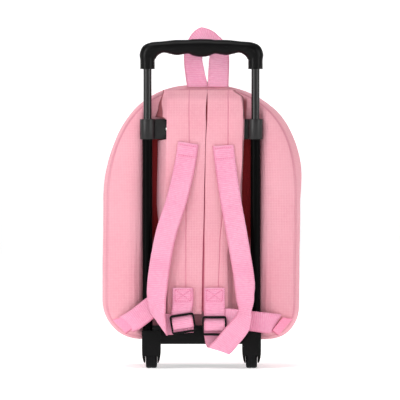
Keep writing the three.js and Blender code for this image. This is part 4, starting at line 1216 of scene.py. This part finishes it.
# Grip
# One black moulding with soft finger waves below, pressed over the inner tubes and pinned in both sleeves.
# Each row is across and up as shares, the section's turn from flat in degrees, and its thickness as a share.
grip_rows = [
    (1, 0, 0, 1), (1, 0.16, 0, 1), (1, 0.32, 0, 1), (1, 0.43, 22, 1.14), (0.96, 0.585, 42, 1.2),
    (0.87, 0.69, 58, 1.02), (0.72, 0.748, 77, 0.8), (0.6, 0.742, 84, 0.92), (0.46, 0.733, 87, 1.05),
    (0.34, 0.748, 89, 0.99), (0.25, 0.758, 89, 0.96), (0.16, 0.738, 90, 1.12), (0.08, 0.722, 90, 1.2),
    (0, 0.718, 90, 1.23), (-0.08, 0.722, 90, 1.2),
]
grip_low, grip_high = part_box("grip")
tube_y = seam_y - 12.5 * mm
sleeve_radius = 8.95 * mm
bore_radius = 5.3 * mm
bore_deep = 22 * mm
grip_pin_radius = 1.9 * mm
grip_sides = 40
grip_steps = 90
grip_line = [Vector((across, up, turn / 90, thick)) for across, up, turn, thick in grip_rows]


def grip_ring(side, row, k):
    """A point of the grip: rows -2 and -1 are the bore's top and rim, the others run up to the middle."""
    angle = 2 * math.pi * k / grip_sides
    if row < 0:
        z = grip_low.z + (bore_deep if row == -2 else 0)
        x = half_spacing + bore_radius * math.cos(angle)
        return Vector((side * x, tube_y + bore_radius * math.sin(angle), z))
    to_middle = (len(grip_line) - 2) / (len(grip_line) - 1)
    across, up, turn, thick = curve_point(grip_line, row / grip_steps * to_middle)
    turn *= math.pi / 2
    reach = thick * sleeve_radius * math.cos(angle)
    deep = sleeve_radius * math.sin(angle)
    z = grip_low.z + (grip_high.z - grip_low.z) * up + reach * math.sin(turn)
    return Vector((side * (across * half_spacing + reach * math.cos(turn)), tube_y + deep, z))


bm = bmesh.new()
rows_each = grip_steps + 2
bmesh.ops.create_grid(bm, x_segments=grip_sides, y_segments=2 * rows_each, size=0.5, calc_uvs=False)
for v in bm.verts:
    k, row = round((v.co.x + 0.5) * grip_sides), round((v.co.y + 0.5) * 2 * rows_each)
    side = -1 if row < rows_each else 1
    v.co = grip_ring(side, min(row, 2 * rows_each - row) - 2, k % grip_sides)
bmesh.ops.remove_doubles(bm, verts=bm.verts, dist=merge_gap)
bmesh.ops.holes_fill(bm, edges=[e for e in bm.edges if e.is_boundary], sides=0)
bmesh.ops.recalc_face_normals(bm, faces=bm.faces)
grip = finish_mesh(bm, "grip_plastic", satin_plastic)
grip.data.set_sharp_from_angle(angle=sharp_from)
sew(grip, "black_plastic", "grip", body="handle")
for name in ("left", "right"):
    low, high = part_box(f"grip_pin_{name}")
    long = (high.y - low.y) / 2
    pin_outline = [
        (0, -long), (grip_pin_radius - 0.3 * mm, -long), (grip_pin_radius, 0.3 * mm - long),
        (grip_pin_radius, long), (0, long),
    ]
    turned(
        f"grip_pin_{name}", f"grip_pin_metal_{name}", pin_outline, (0, 1, 0), black_powder, "zinc",
        body="handle", closed=False,
    )
